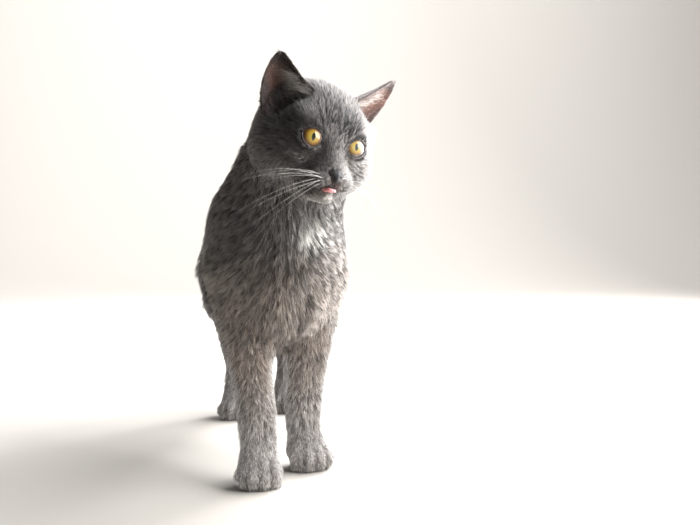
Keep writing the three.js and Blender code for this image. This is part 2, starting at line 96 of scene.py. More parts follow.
def places(piece):
    """The piece's points, one row of three for each."""
    flat = np.empty(len(piece.data.vertices) * 3)
    piece.data.vertices.foreach_get("co", flat)
    return flat.reshape(-1, 3)


def move_to(piece, rows):
    piece.data.vertices.foreach_set("co", np.ascontiguousarray(rows).ravel())
    piece.data.update()


def normals(piece):
    flat = np.empty(len(piece.data.vertices) * 3)
    piece.data.vertex_normals.foreach_get("vector", flat)
    return flat.reshape(-1, 3)


def unit(rows):
    return rows / np.maximum(np.linalg.norm(rows, axis=-1, keepdims=True), 1e-9)


def fade(value, start, end):
    """0 before start, 1 after end, and smooth between them."""
    t = np.clip((value - start) / (end - start), 0, 1)
    return t * t * (3 - 2 * t)


def tree_of(spots):
    """A search tree that finds the nearest of the spots and its number."""
    tree = kdtree.KDTree(len(spots))
    for index, spot_at in enumerate(spots):
        tree.insert(spot_at, index)
    tree.balance()
    return tree


def surface_spots(mesh):
    """The corners and the middles of a mesh's faces."""
    return [v.co for v in mesh.vertices] + [p.center for p in mesh.polygons]


def mean_of_neighbours(piece):
    """A function that gives each point the mean of the values at the points joined to it."""
    ends = np.empty(len(piece.data.edges) * 2, np.int32)
    piece.data.edges.foreach_get("vertices", ends)
    first, second = ends.reshape(-1, 2).T
    here, there = np.concatenate((first, second)), np.concatenate((second, first))
    count = len(piece.data.vertices)
    joined = np.bincount(here, minlength=count)[:, None]

    def mean(rows, rounds=1):
        for _ in range(rounds):
            sums = [np.bincount(here, rows[there, k], count) for k in range(rows.shape[1])]
            rows = np.stack(sums, axis=1) / joined
        return rows

    return mean


# %% [markdown]
# ## The head's own frame
# The head is turned to the cat's left, tilted and a little nosed down. Its features are easier to
# place in a frame that turns with it: x to the cat's left, -y out of the face, z up. The two
# eyes of the frame fix its place, and three angles fix its turn.

# %% The head's frame
HEAD_TURN, HEAD_TILT, HEAD_NOD = (math.radians(a) for a in (23, 11, 10))
HEAD_AXES = np.array(
    Matrix.Rotation(HEAD_TURN, 3, "Z")
    @ Matrix.Rotation(HEAD_TILT, 3, "Y")
    @ Matrix.Rotation(HEAD_NOD, 3, "X")
)
EYE_RADIUS = 10.5 * MM
EYE_AT = np.array([21, -36, 2]) * MM  # the left eye's ball; the right one has -x


def middle_of(node):
    low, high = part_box(node)
    return np.array((low + high) / 2)


between_eyes = (middle_of("eye_right") + middle_of("eye_left")) / 2
HEAD_MIDDLE = between_eyes - HEAD_AXES @ (EYE_AT * [0, 1, 1])


def ball_middle(side):
    """The middle of an eye's ball in the head's frame: side is -1 for the right eye, 1 for the left."""
    return EYE_AT * [side, 1, 1]


def to_head(rows):
    return (rows - HEAD_MIDDLE) @ HEAD_AXES


def from_head(rows):
    return np.asarray(rows) @ HEAD_AXES.T + HEAD_MIDDLE


print("head's middle:", HEAD_MIDDLE.round(4))

# %% [markdown]
# ## The paws' own frames
# Each paw has a frame on the floor under its middle, which turns with the paw: x across it, -y
# towards its toes. Toes, the clefts between them and claws are placed in it.

# %% Places and turns of the paws, and the toes in a paw's own frame, in millimetres
PAWS = {
    "paw_front_right": ((-34.6, -276.0), -3),
    "paw_front_left": ((13.4, -218.0), 14),
    "paw_hind_right": ((-44.6, 33.0), -4),
    "paw_hind_left": ((17.4, 64.0), 6),
}
TOES = ((-14, -12), (-5.4, -18), (5.4, -18), (14, -12))


def paw_turn(paw):
    return np.array(Matrix.Rotation(math.radians(PAWS[paw][1]), 3, "Z"))


def from_paw(paw, spots):
    return (np.array(spots, float) @ paw_turn(paw).T + (*PAWS[paw][0], 0)) * MM


def to_paw(paw, rows):
    return (rows / MM - (*PAWS[paw][0], 0)) @ paw_turn(paw)


print("paws:", len(PAWS), "with", len(TOES), "toes each")

# %% [markdown]
# ## One skin
# A cat has no seams, so the separate solids of flesh are copied, made a hair's breadth larger so
# that they touch, and remeshed into one closed surface of even little squares. A voxel remesh
# is the right tool: it welds whatever overlaps. Eyes, nose and tongue are welded in too, so that
# no hollow is left where they sit, and the skin is sunk under them later. The flat facets are
# then eased away. Plain smoothing thins the legs, so each inward step has an outward one.

# %% Weld the solids into one hull
BARE = ("nose", "tongue", "eye_right", "eye_left")
FLESH = [name for name in frame["nodes"] if name not in BARE]
OVERLAP = 0.4 * MM
VOXEL = 1.5 * MM

copies = []
for name in frame["nodes"]:
    twin = bpy.data.objects.new("skin", frame["nodes"][name].data.copy())
    bpy.context.collection.objects.link(twin)
    copies.append(twin)
only(*copies)
bpy.ops.object.join()
skin = bpy.context.object
skin.data.materials.clear()
bpy.ops.object.mode_set(mode="EDIT")
bpy.ops.mesh.select_all(action="SELECT")
bpy.ops.mesh.remove_doubles(threshold=0.01 * MM)
bpy.ops.transform.shrink_fatten(value=OVERLAP)
bpy.ops.object.mode_set(mode="OBJECT")
apply_modifier(skin, "REMESH", mode="VOXEL", voxel_size=VOXEL)
print("hull points:", len(skin.data.vertices))

# %% Whose flesh each point is
NODES = list(frame["nodes"])


def nearest_nodes(rows):
    """For each row, the number in NODES of the solid whose surface is closest."""
    spots, owners = [], []
    for number, name in enumerate(NODES):
        own = surface_spots(frame["nodes"][name].data)
        spots += own
        owners += [number] * len(own)
    tree = tree_of(spots)
    return np.array([owners[tree.find(row)[1]] for row in rows])


def share_of(*names):
    """1 where the point belongs to one of the named solids, else 0."""
    return np.isin(owner, [NODES.index(name) for name in names]).astype(float)[:, None]


owner = nearest_nodes(places(skin))
HEAD_NODES, EAR_NODES = ("head", "lower_jaw"), ("ear_right", "ear_left")
SHARE_ROUNDS = 6
print("points of the head:", int(share_of(*HEAD_NODES).sum()))


# %% Ease the facets away
IN_STEP, OUT_STEP = 0.5, -0.52
BODY_ROUNDS, HEAD_ROUNDS, EAR_ROUNDS = 60, 22, 9
mean = mean_of_neighbours(skin)
head_share, ear_share = (mean(share_of(*names), SHARE_ROUNDS) for names in (HEAD_NODES, EAR_NODES))
rows = places(skin)
for turn in range(BODY_ROUNDS):
    freedom = 1 - ear_share if turn < HEAD_ROUNDS else 1 - np.minimum(1, ear_share + head_share)
    if turn < EAR_ROUNDS:
        freedom = np.ones_like(freedom)
    for step in (IN_STEP, OUT_STEP):
        rows = rows + step * freedom * (mean(rows) - rows)
move_to(skin, rows)
print("eased over", BODY_ROUNDS, "rounds")

# %% Fewer triangles where the coat hides the skin
KEPT_PART = 0.36
paw_share = mean(share_of(*PAWS), 4)
hidden = 1 - np.clip(head_share + ear_share + paw_share, 0, 1)[:, 0]
group = skin.vertex_groups.new(name="under the coat")
for level in (0.25, 0.5, 0.75, 1.0):
    chosen = np.flatnonzero(np.abs(hidden - level) <= 0.125)
    group.add(chosen.tolist(), level, "REPLACE")
apply_modifier(
    skin, "DECIMATE", ratio=KEPT_PART, vertex_group=group.name, vertex_group_factor=1.0
)
skin.vertex_groups.clear()
owner = nearest_nodes(places(skin))
mean = mean_of_neighbours(skin)
head_share, ear_share = (mean(share_of(*names), SHARE_ROUNDS) for names in (HEAD_NODES, EAR_NODES))
print("points left:", len(skin.data.vertices), "of them on the head:", int(head_share.sum()))

# %% [markdown]
# ## How deep the coat is
# The hull lies at the tips of the coat, so the skin is let in by the coat's depth: most on the
# trunk, less on the feet and the face and hardly any on the ears. Each solid has its own depth,
# hair length and hair width, and averaging over the neighbours lets them flow together.

# %% Coat sizes of each part, in millimetres: depth, length, width
COAT = {
    "trunk": (6.5, 17, 1.25),
    "neck": (6.5, 16, 1.2),
    "upper_arm": (5.5, 14, 1.15),
    "thigh": (6, 15, 1.2),
    "forearm": (3.6, 9, 0.85),
    "shank": (3.6, 10, 0.9),
    "paw": (2, 5, 0.6),
    "tail_base": (5.5, 13, 1.1),
    "tail_middle": (5, 13, 1.1),
    "tail_tip": (3, 10, 1.0),
    "head": (3.4, 8.5, 0.6),
    "eye": (3.4, 8.5, 0.6),
    "lower_jaw": (2.6, 7, 0.55),
    "nose": (2.6, 7, 0.55),
    "tongue": (2.6, 7, 0.55),
    "ear": (0.5, 3.4, 0.4),
}
sizes = np.ones((len(NODES), 3))
for number, solid in enumerate(NODES):
    for part, row in COAT.items():
        if solid.startswith(part):
            sizes[number] = row

# %% Coat sizes over the skin
NOSE_AT = np.array([0, -57, -24]) * MM
NOSE_NEAR, NOSE_FAR = 6 * MM, 55 * MM  # the nearer to the nose leather, the shorter the hair
FINER_AT_NOSE = np.array([0.8, 0.6, 0.4])


def sizes_on_skin(rounds):
    """Coat sizes of the skin's points: flowing together over the rounds, and finer near the nose."""
    blended = sizes[owner]
    for _ in range(rounds):
        blended = mean(blended) * (1 - ear_share) + blended * ear_share
    from_nose = np.linalg.norm((to_head(places(skin)) - NOSE_AT) * [0.9, 1, 1], axis=1)[:, None]
    fine = np.clip(head_share, 0, 1) * (1 - fade(from_nose, NOSE_NEAR, NOSE_FAR))
    return blended * (1 - fine * FINER_AT_NOSE)


coat_sizes = sizes_on_skin(30)
print("hair from", coat_sizes[:, 1].min().round(1), "to", coat_sizes[:, 1].max().round(1), "mm long")

# %% Let the skin in
rows = places(skin)
lift_out = unit(mean(normals(skin), 8))
on_sole = fade(-lift_out[:, 2], 0.5, 0.85) * (rows[:, 2] < 10 * MM)
move_to(skin, rows - lift_out * (coat_sizes[:, 0] * (1 - 0.95 * on_sole))[:, None] * MM)
print("coat depth from", coat_sizes[:, 0].min().round(2), "to", coat_sizes[:, 0].max().round(2), "mm")

# %% [markdown]
# ## The face
# The head gets the most care. The squares of the face are cut in four first, because lids and
# lips are only a millimetre or two wide. Then the skin is pushed and pulled in the head's own
# frame, as a sculptor does: soft dabs for pads, chin and brow, and a narrow line for the mouth.

# %% Finer squares on the face
FACE_FRONT = -18 * MM
FACE_WIDE, FACE_LOW, FACE_HIGH = 46 * MM, -58 * MM, 26 * MM
in_head = to_head(places(skin))
on_face = (
    (in_head[:, 1] < FACE_FRONT)
    & (np.abs(in_head[:, 0]) < FACE_WIDE)
    & (in_head[:, 2] > FACE_LOW)
    & (in_head[:, 2] < FACE_HIGH)
)
before = len(skin.data.vertices)
skin.data.vertices.foreach_set("select", on_face)
skin.data.edges.foreach_set("select", np.zeros(len(skin.data.edges), bool))
skin.data.polygons.foreach_set("select", np.zeros(len(skin.data.polygons), bool))
only(skin)
bpy.ops.object.mode_set(mode="EDIT")
bpy.ops.mesh.select_mode(type="VERT")
bpy.ops.object.mode_set(mode="OBJECT")
skin.data.vertices.foreach_set("select", on_face)
bpy.ops.object.mode_set(mode="EDIT")
bpy.ops.mesh.select_mode(type="FACE")
bpy.ops.mesh.subdivide(number_cuts=1, smoothness=0.6)
bpy.ops.object.mode_set(mode="OBJECT")
print("points:", before, "then", len(skin.data.vertices))

# %% Places on the face
LOOK_BACK = HEAD_AXES @ np.array([0, 1.0, 0])


def on_face_at(across, height):
    """The place on the skin seen from in front of the face, in the head's frame, in millimetres."""
    start = from_head(np.array([across, -95, height]) * MM)
    hit, at, _, _ = skin.ray_cast(Vector(start), Vector(LOOK_BACK))
    return to_head(np.array(at)) / MM if hit else np.array([across, -30.0, height])


def dab(piece, spots, reach, push):
    """Pushes the skin along its own normal, most at the spots and less away from them."""
    here = to_head(places(piece)) / MM
    tree = tree_of(spots)
    low, high = np.min(spots, axis=0) - 3 * reach, np.max(spots, axis=0) + 3 * reach
    near = np.flatnonzero(((here > low) & (here < high)).all(axis=1))
    apart = np.array([tree.find(row)[2] for row in here[near]]) / reach
    rows = places(piece)
    rows[near] += normals(piece)[near] * (np.exp(-apart * apart) * push * MM)[:, None]
    move_to(piece, rows)


def both_sides(spots):
    return [spot for across, height in spots for spot in ((across, height), (-across, height))]


# %% Dabs of the sculptor, in millimetres: places across and up the face, reach and push
DABS = [
    ([(9, -27), (13, -29)], 6, 2.4),  # whisker pads
    ([(6, -32.5), (11, -34)], 3.5, 1.6),  # lower edge of the pads beside the cleft
    ([(21, -24), (22, -29)], 4, -1.4),  # behind the pads
    ([(8, -42.5), (14, -41.5)], 4, -3.4),  # lower lip, drawn in under the pads
    ([(0, -46)], 5, 1.2),  # chin
    ([(22, -16)], 6, -1.2),  # hollow between pad and cheek
    ([(14, 13), (20, 14.5), (27, 12)], 5, 1.5),  # brow
    ([(0, -4), (0, 3)], 5, 0.6),  # bridge
    ([(33, -20)], 10, 1.5),  # cheek
]
bpy.context.view_layer.update()
for spots_of_dab, reach, push in DABS:
    spots_on_face = [on_face_at(*spot_at) for spot_at in both_sides(spots_of_dab)]
    dab(skin, spots_on_face, reach, push)
print("dabs on the face:", len(DABS))

# %% Fuller shoulder and the hollow between the front legs: packed millimetres, reach, push
BODY_DABS = [
    ([(-66, -200, 243)], 34, 3.2),
    ([(-74, -165, 228)], 34, 3.2),
    ([(-78, -150, 205)], 34, 3.2),
    ([(-62, -225, 250)], 34, 3.2),
    ([(8, -270, 172), (6, -268, 158), (3, -262, 144), (0, -250, 130)], 9, -6),
    ([(-24, -262, 165), (-26, -262, 145)], 14, 2.5),
    ([(40, -240, 165), (40, -232, 145)], 14, 2.5),
]
for spots_of_dab, reach, push in BODY_DABS:
    dab(skin, list(to_head(np.array(spots_of_dab) * MM) / MM), reach, push)
print("dabs on the body:", len(BODY_DABS))

# %% Mouth line, and the cleft from the nose down to it
MOUTH_WIDTH, MOUTH_TOP, MOUTH_DROP = 21.5, -34.0, 5.0
CLEFT_TOP = -29.5


def lip_height(across):
    """The mouth falls from the cleft round the pad and rises again to its corner."""
    t = np.abs(across) / MOUTH_WIDTH
    return MOUTH_TOP - MOUTH_DROP * np.sin(math.pi * np.minimum(1, t * 0.92)) ** 0.8


bpy.context.view_layer.update()
LIP_LINE = [on_face_at(x, lip_height(x)) for x in np.linspace(-MOUTH_WIDTH, MOUTH_WIDTH, 90)]
CLEFT = [on_face_at(0, z) for z in np.linspace(CLEFT_TOP, MOUTH_TOP, 12)]
dab(skin, LIP_LINE, 2.0, -3.4)
dab(skin, CLEFT, 1.1, -1.5)
LIP_LINE, CLEFT = np.array(LIP_LINE), np.array(CLEFT)
print("mouth line over", len(LIP_LINE), "places")

# %% Let the skin in under the nose leather and the tongue
SUNK_REACH, SUNK = 1.6 * MM, 1.3 * MM
FAR_FROM_BARE = 5 * MM
bare_trees = {name: tree_of(surface_spots(frame["nodes"][name].data)) for name in ("nose", "tongue")}


def from_bare(piece_rows, name):
    """How far each row is from the nose leather or the tongue, up to 5 mm."""
    here = to_head(piece_rows) / MM
    apart = np.full(len(piece_rows), FAR_FROM_BARE)
    near = np.flatnonzero((np.abs(here[:, 0]) < 14) & (here[:, 1] < -40) & (np.abs(here[:, 2] + 28) < 18))
    apart[near] = [bare_trees[name].find(row)[2] for row in piece_rows[near]]
    return apart


rows = places(skin)
nearest_bare = np.minimum(from_bare(rows, "nose"), from_bare(rows, "tongue"))
sunk = SUNK * (1 - fade(nearest_bare, 0.5 * MM, SUNK_REACH))
move_to(skin, rows - normals(skin) * sunk[:, None])
print("points let in under nose and tongue:", int((sunk > 0).sum()))

# %% [markdown]
# ## Ears and toes
# The cup of an ear goes on down into the side of the head as a bowl, so a ball is pressed into
# the skin in front of the ear's base. Shallow clefts part the toes.

# %% Bowls in front of the ears
EAR_INNER = {-1: (-21, -22, 41), 1: (24, -19, 42)}
EAR_OUTER = {-1: (-52, 3, 11), 1: (53, 14, 14)}
EAR_TIP = {-1: (-47, 12, 67), 1: (65, -6, 70)}
BOWL_LONG, BOWL_WIDE = 25, 13.5  # half sizes: along the ear's base, and across it


def ear_facing(side):
    """The way the cup of an ear opens, in the head's frame."""
    inner, outer, tip = (np.array(ends[side], float) for ends in (EAR_INNER, EAR_OUTER, EAR_TIP))
    way = np.cross(outer - inner, tip - inner)
    return unit(way * side)


def ear_base(side):
    return (np.array(EAR_INNER[side]) + np.array(EAR_OUTER[side])) / 2


def ear_up(side):
    return unit(np.array(EAR_TIP[side]) - ear_base(side))


def ear_place(rows_mm, side):
    """Places in an ear's own measure: across it from -1 to 1, up it from 0 to 1, and ahead of it."""
    across = (np.array(EAR_OUTER[side]) - np.array(EAR_INNER[side])) / 2
    reach = np.linalg.norm(np.array(EAR_TIP[side]) - ear_base(side))
    off = rows_mm - ear_base(side)
    height = off @ ear_up(side) / reach
    width = np.sqrt(np.clip(1 - height, 0.03, 1))
    return off @ across / (across @ across) / width, height, off @ ear_facing(side)


on_ear = np.isin(nearest_nodes(places(skin)), [NODES.index(name) for name in EAR_NODES])
for side in (-1, 1):
    here = to_head(places(skin)) / MM
    into = unit(-0.75 * ear_facing(side) - 0.65 * ear_up(side))
    along = unit(np.array(EAR_OUTER[side]) - np.array(EAR_INNER[side]))
    third = np.cross(into, along)
    size = np.array([BOWL_LONG, BOWL_WIDE, BOWL_WIDE])
    u, v, w = ((here - ear_base(side)) @ np.array([along, third, into]).T / size).T
    facing_out = (normals(skin) @ HEAD_AXES) @ into < -0.1
    inside = (u * u + v * v + w * w < 1) & facing_out & ~on_ear
    floor_at = np.sqrt(np.clip(1 - u * u - v * v, 0, 1))
    push = np.where(inside, floor_at - w, 0) * BOWL_WIDE
    here = here + into * push[:, None]
    move_to(skin, from_head(here * MM))
    print("bowl of ear", side, "moved", int(inside.sum()), "points by up to", push.max().round(1))

# Ease the steps that the pressing left.
mean = mean_of_neighbours(skin)
in_head = to_head(places(skin)) / MM
EASED_REACH = 26
near_bowl = sum(
    np.exp(-np.sum((in_head - ear_base(side)) ** 2, axis=1) / EASED_REACH**2) for side in (-1, 1)
)[:, None]
rows = places(skin)
for _ in range(6):
    rows = rows + 0.5 * np.clip(near_bowl, 0, 1) * (~on_ear)[:, None] * (mean(rows) - rows)
move_to(skin, rows)

# %% Clefts between the toes
CLEFT_REACH, CLEFT_DEPTH = 1.9, 2.0
TOE_CLEFTS = [(-9.7, -15), (0, -18), (9.7, -15)]  # across, and where the toes' middles are
for paw in PAWS:
    here = to_paw(paw, places(skin))
    near = np.flatnonzero((np.abs(here[:, 0]) < 30) & (np.abs(here[:, 1]) < 40) & (here[:, 2] < 30))
    depth = np.zeros(len(near))
    for across, ahead in TOE_CLEFTS:
        off = (here[near, 0] - across * (1 - 0.012 * (here[near, 1] - ahead))) / CLEFT_REACH
        front = fade(-here[near, 1], -ahead - 8, -ahead + 2)
        depth = np.maximum(depth, np.exp(-off * off) * front)
    rows = places(skin)
    rows[near] -= normals(skin)[near] * (depth * CLEFT_DEPTH * MM)[:, None]
    move_to(skin, rows)
print("clefts between toes:", len(PAWS) * len(TOE_CLEFTS))

# %% [markdown]
# ## Eye sockets and lids
# A real eye is a ball deep in the skull, and what shows of it is cut out by the two lids. Each
# point of skin near a ball is looked at along the gaze. If it falls inside the outline of the
# lids it goes behind the ball. Outside it, its height along the gaze is that of a lid a
# millimetre thick on the ball, and a few millimetres further out it is the face's own again.

# %% Outline of the lids
LID_NASAL, LID_OUTER, LID_UP, LID_DOWN = (n * MM for n in (9.7, 9.7, 7.9, 7.8))
LID_TILT = math.radians(-15)  # the inner corner is the lower one
DUCT_REACH, DUCT_WIDTH = 1.1 * MM, 0.22
LID_THICK = 1.2 * MM
LID_POINTED = 1.85
LID_BLEND, LID_FALL = 5.0 * MM, 0.8 * MM
LID_SNAP = 0.4 * MM  # points this near the outline go onto it
LID_RANGE = 24 * MM
SOCKET_DEPTH = 3.2 * MM
EYE_OUTWARD = math.radians(9)


def eye_axes(side):
    """Rows: towards the nose, up, and out of the face along the gaze, in the head's frame."""
    turn = EYE_OUTWARD * side
    out = np.array([math.sin(turn), -math.cos(turn), 0])
    up = np.array([0, 0, 1.0])
    nasal = -side * np.array([math.cos(turn), math.sin(turn), 0])
    return np.array([nasal, up, out])


def lid_reach(angle, duct=DUCT_REACH):
    """How far the lids' edge is from the gaze line, at an angle counted up from the nose's side."""
    angle = angle - LID_TILT
    wide = np.where(np.cos(angle) > 0, LID_NASAL, LID_OUTER)
    high = np.where(np.sin(angle) > 0, LID_UP, LID_DOWN)
    shares = np.abs(np.cos(angle) / wide) ** LID_POINTED + np.abs(np.sin(angle) / high) ** LID_POINTED
    oval = shares ** (-1 / LID_POINTED)
    from_duct = (angle + math.pi) % (2 * math.pi) - math.pi
    return oval + duct * np.exp(-((from_duct / DUCT_WIDTH) ** 2))


print("lids part by", round((LID_UP + LID_DOWN) / MM, 1), "mm")

# %% Lay the lids on the balls
rows = to_head(places(skin))
round_eyes = np.zeros(len(rows))
for side in (-1, 1):
    middle = ball_middle(side)
    axes = eye_axes(side)
    seen = (rows - middle) @ axes.T
    far = np.linalg.norm(seen, axis=1)
    off = np.linalg.norm(seen[:, :2], axis=1)
    around = np.arctan2(seen[:, 1], seen[:, 0])
    edge, outside = lid_reach(around), off - lid_reach(around, 0)
    over_ball = np.sqrt(np.maximum((EYE_RADIUS + LID_THICK) ** 2 - off**2, 0))
    edge_height = np.sqrt((EYE_RADIUS + LID_THICK) ** 2 - edge**2)
    on_edge = (np.abs(off - edge) < LID_SNAP)[:, None]
    seen[:, :2] = np.where(on_edge, seen[:, :2] / off[:, None] * edge[:, None], seen[:, :2])
    lid = np.maximum(over_ball, edge_height - LID_FALL)
    flow = fade(outside, 0.4 * MM, LID_BLEND)
    height = np.maximum(lid * (1 - flow) + seen[:, 2] * flow, over_ball)
    front = (seen[:, 2] > 0) & (far < LID_RANGE)
    lifted = np.concatenate((seen[:, :2], np.where(front, height, seen[:, 2])[:, None]), axis=1)
    sunk = seen / far[:, None] * (EYE_RADIUS - SOCKET_DEPTH)
    inside = front & (off < edge - LID_SNAP)
    moved = middle + np.where(inside[:, None], sunk, lifted) @ axes
    rows = np.where(front[:, None], moved, rows)
    band = fade(outside, 9 * MM, 6 * MM) * fade(outside, 1.2 * MM, 2.4 * MM)
    round_eyes = np.maximum(round_eyes, front * band)
move_to(skin, from_head(rows))

# %% Soften the skin a little
mean = mean_of_neighbours(skin)
rows = places(skin)
for _ in range(14):
    rows = rows + 0.5 * round_eyes[:, None] * (mean(rows) - rows)
for step in (0.4, -0.41) * 3:
    rows = rows + step * (mean(rows) - rows)
move_to(skin, rows)
skin.data.polygons.foreach_set("use_smooth", np.ones(len(skin.data.polygons), bool))
skin.data.calc_loop_triangles()
print("skin triangles:", len(skin.data.loop_triangles))

# %% [markdown]
# ## An unwrap of the skin
# Every tuft takes its colours from a small patch at its root on a flat map of the skin. Smart
# projection cuts the skin into pieces by the way they face and lays them side by side.

# %% Unwrap
BAKE_MAP = "OFBake"
only(skin)
bpy.ops.object.mode_set(mode="EDIT")
bpy.ops.mesh.select_all(action="SELECT")
bpy.ops.uv.smart_project(angle_limit=math.radians(66), island_margin=0.002)
bpy.ops.object.mode_set(mode="OBJECT")
skin.data.uv_layers.active.name = BAKE_MAP
print("unwrapped", len(skin.data.polygons), "faces")

# %% [markdown]
# ## Markings and painted light
# The coat is blue-grey all over, paler on the feet, muzzle and chin, warmer under the chest,
# partly as painted light shining through it, with a small white patch on the breast, faint
# darker stripes on the forehead and rows of dark dots where the whiskers grow. Light and shade
# are painted in too: the inside of the ears is partly painted light shining through them, and
# there is painted shade low in their bowls, beside the nose's wings, in the mouth line and the
# cleft, under the pads and between the toes, and a painted rim of light on the sides of the
# front legs. One function gives the colour of any place, and skin and tufts both ask it, so
# that they always carry the same markings and painted light.


# %% Colours
def linear(hex_colour):
    """An sRGB colour such as "#77757a" as linear red, green and blue."""
    parts = [int(hex_colour[n : n + 2], 16) / 255 for n in (1, 3, 5)]
    return np.array([p / 12.92 if p <= 0.04045 else ((p + 0.055) / 1.055) ** 2.4 for p in parts])


BLUE = linear("#797472")
BLUE_BACK = linear("#716c6b")
WARM = linear("#a39182")
PALE = linear("#bdb8b5")
CHIN = linear("#ded8d3")
WHITE = linear("#f4f1ec")
DARK = linear("#302d2f")
# The pink-brown inside of the ears: partly the bare skin's own colour, partly painted light shining through
# the thin ear.
EAR_SKIN_LIT_THROUGH = linear("#916d62")
EAR_EDGE = linear("#564846")
# Painted shade low in the bowls of the ears.
EAR_BOWL_SHADE = linear("#40383a")
SOLE = linear("#4c4346")
# Each tuft is darkened at its root as painted shade deep in the coat.
ROOT_PAINTED_SHADE = 0.26
ROOT_SHADE_TINT = np.array([1.12, 0.98, 0.93])  # browner painted shade in the depth of the coat

BREAST_PATCH = np.array([0.009, -0.267, 0.225])
STREAKS = [  # on the forehead: from, to, in the head's frame and across and up, then width and strength
    ((-11, 10), (-12, 28), 1.8, 0.9),
    ((-6, 16), (-8, 31), 1.4, 0.65),
    ((-1, 6), (-2, 30), 2.1, 1.0),
    ((4.5, 12), (6, 28), 1.5, 0.9),
    ((9.5, 6), (6, 21), 2.3, 1.0),
    ((13, 8), (12, 26), 1.7, 0.9),
    ((18, 12), (19, 28), 1.5, 0.7),
    ((-17, 12), (-19, 26), 1.5, 0.6),
]
PAD_DOT = 1.2


def spot(rows, centre, reach):
    """1 at the centre and less around it."""
    apart = (rows - np.array(centre)) / np.array(reach)
    return np.exp(-np.sum(apart * apart, axis=-1))


def pad_dots():
    """Places across and up the face of four rows of four dots."""
    grid = [(row, column) for row in range(4) for column in range(4)]
    return [(9 + 3.6 * column + 0.8 * row, -30 + row * -2.6 + 1.2 * column + 3.5) for row, column in grid]


def ripple(rows, size, seed):
    """A soft uneven value between -1 and 1, from a few crossed waves of about that size."""
    waves = np.random.default_rng(seed)
    total = np.zeros(len(rows))
    for _ in range(5):
        way = unit(waves.normal(size=3)) * 2 * math.pi / size
        total += np.sin(rows @ way + waves.uniform(0, 2 * math.pi))
    return total / 5


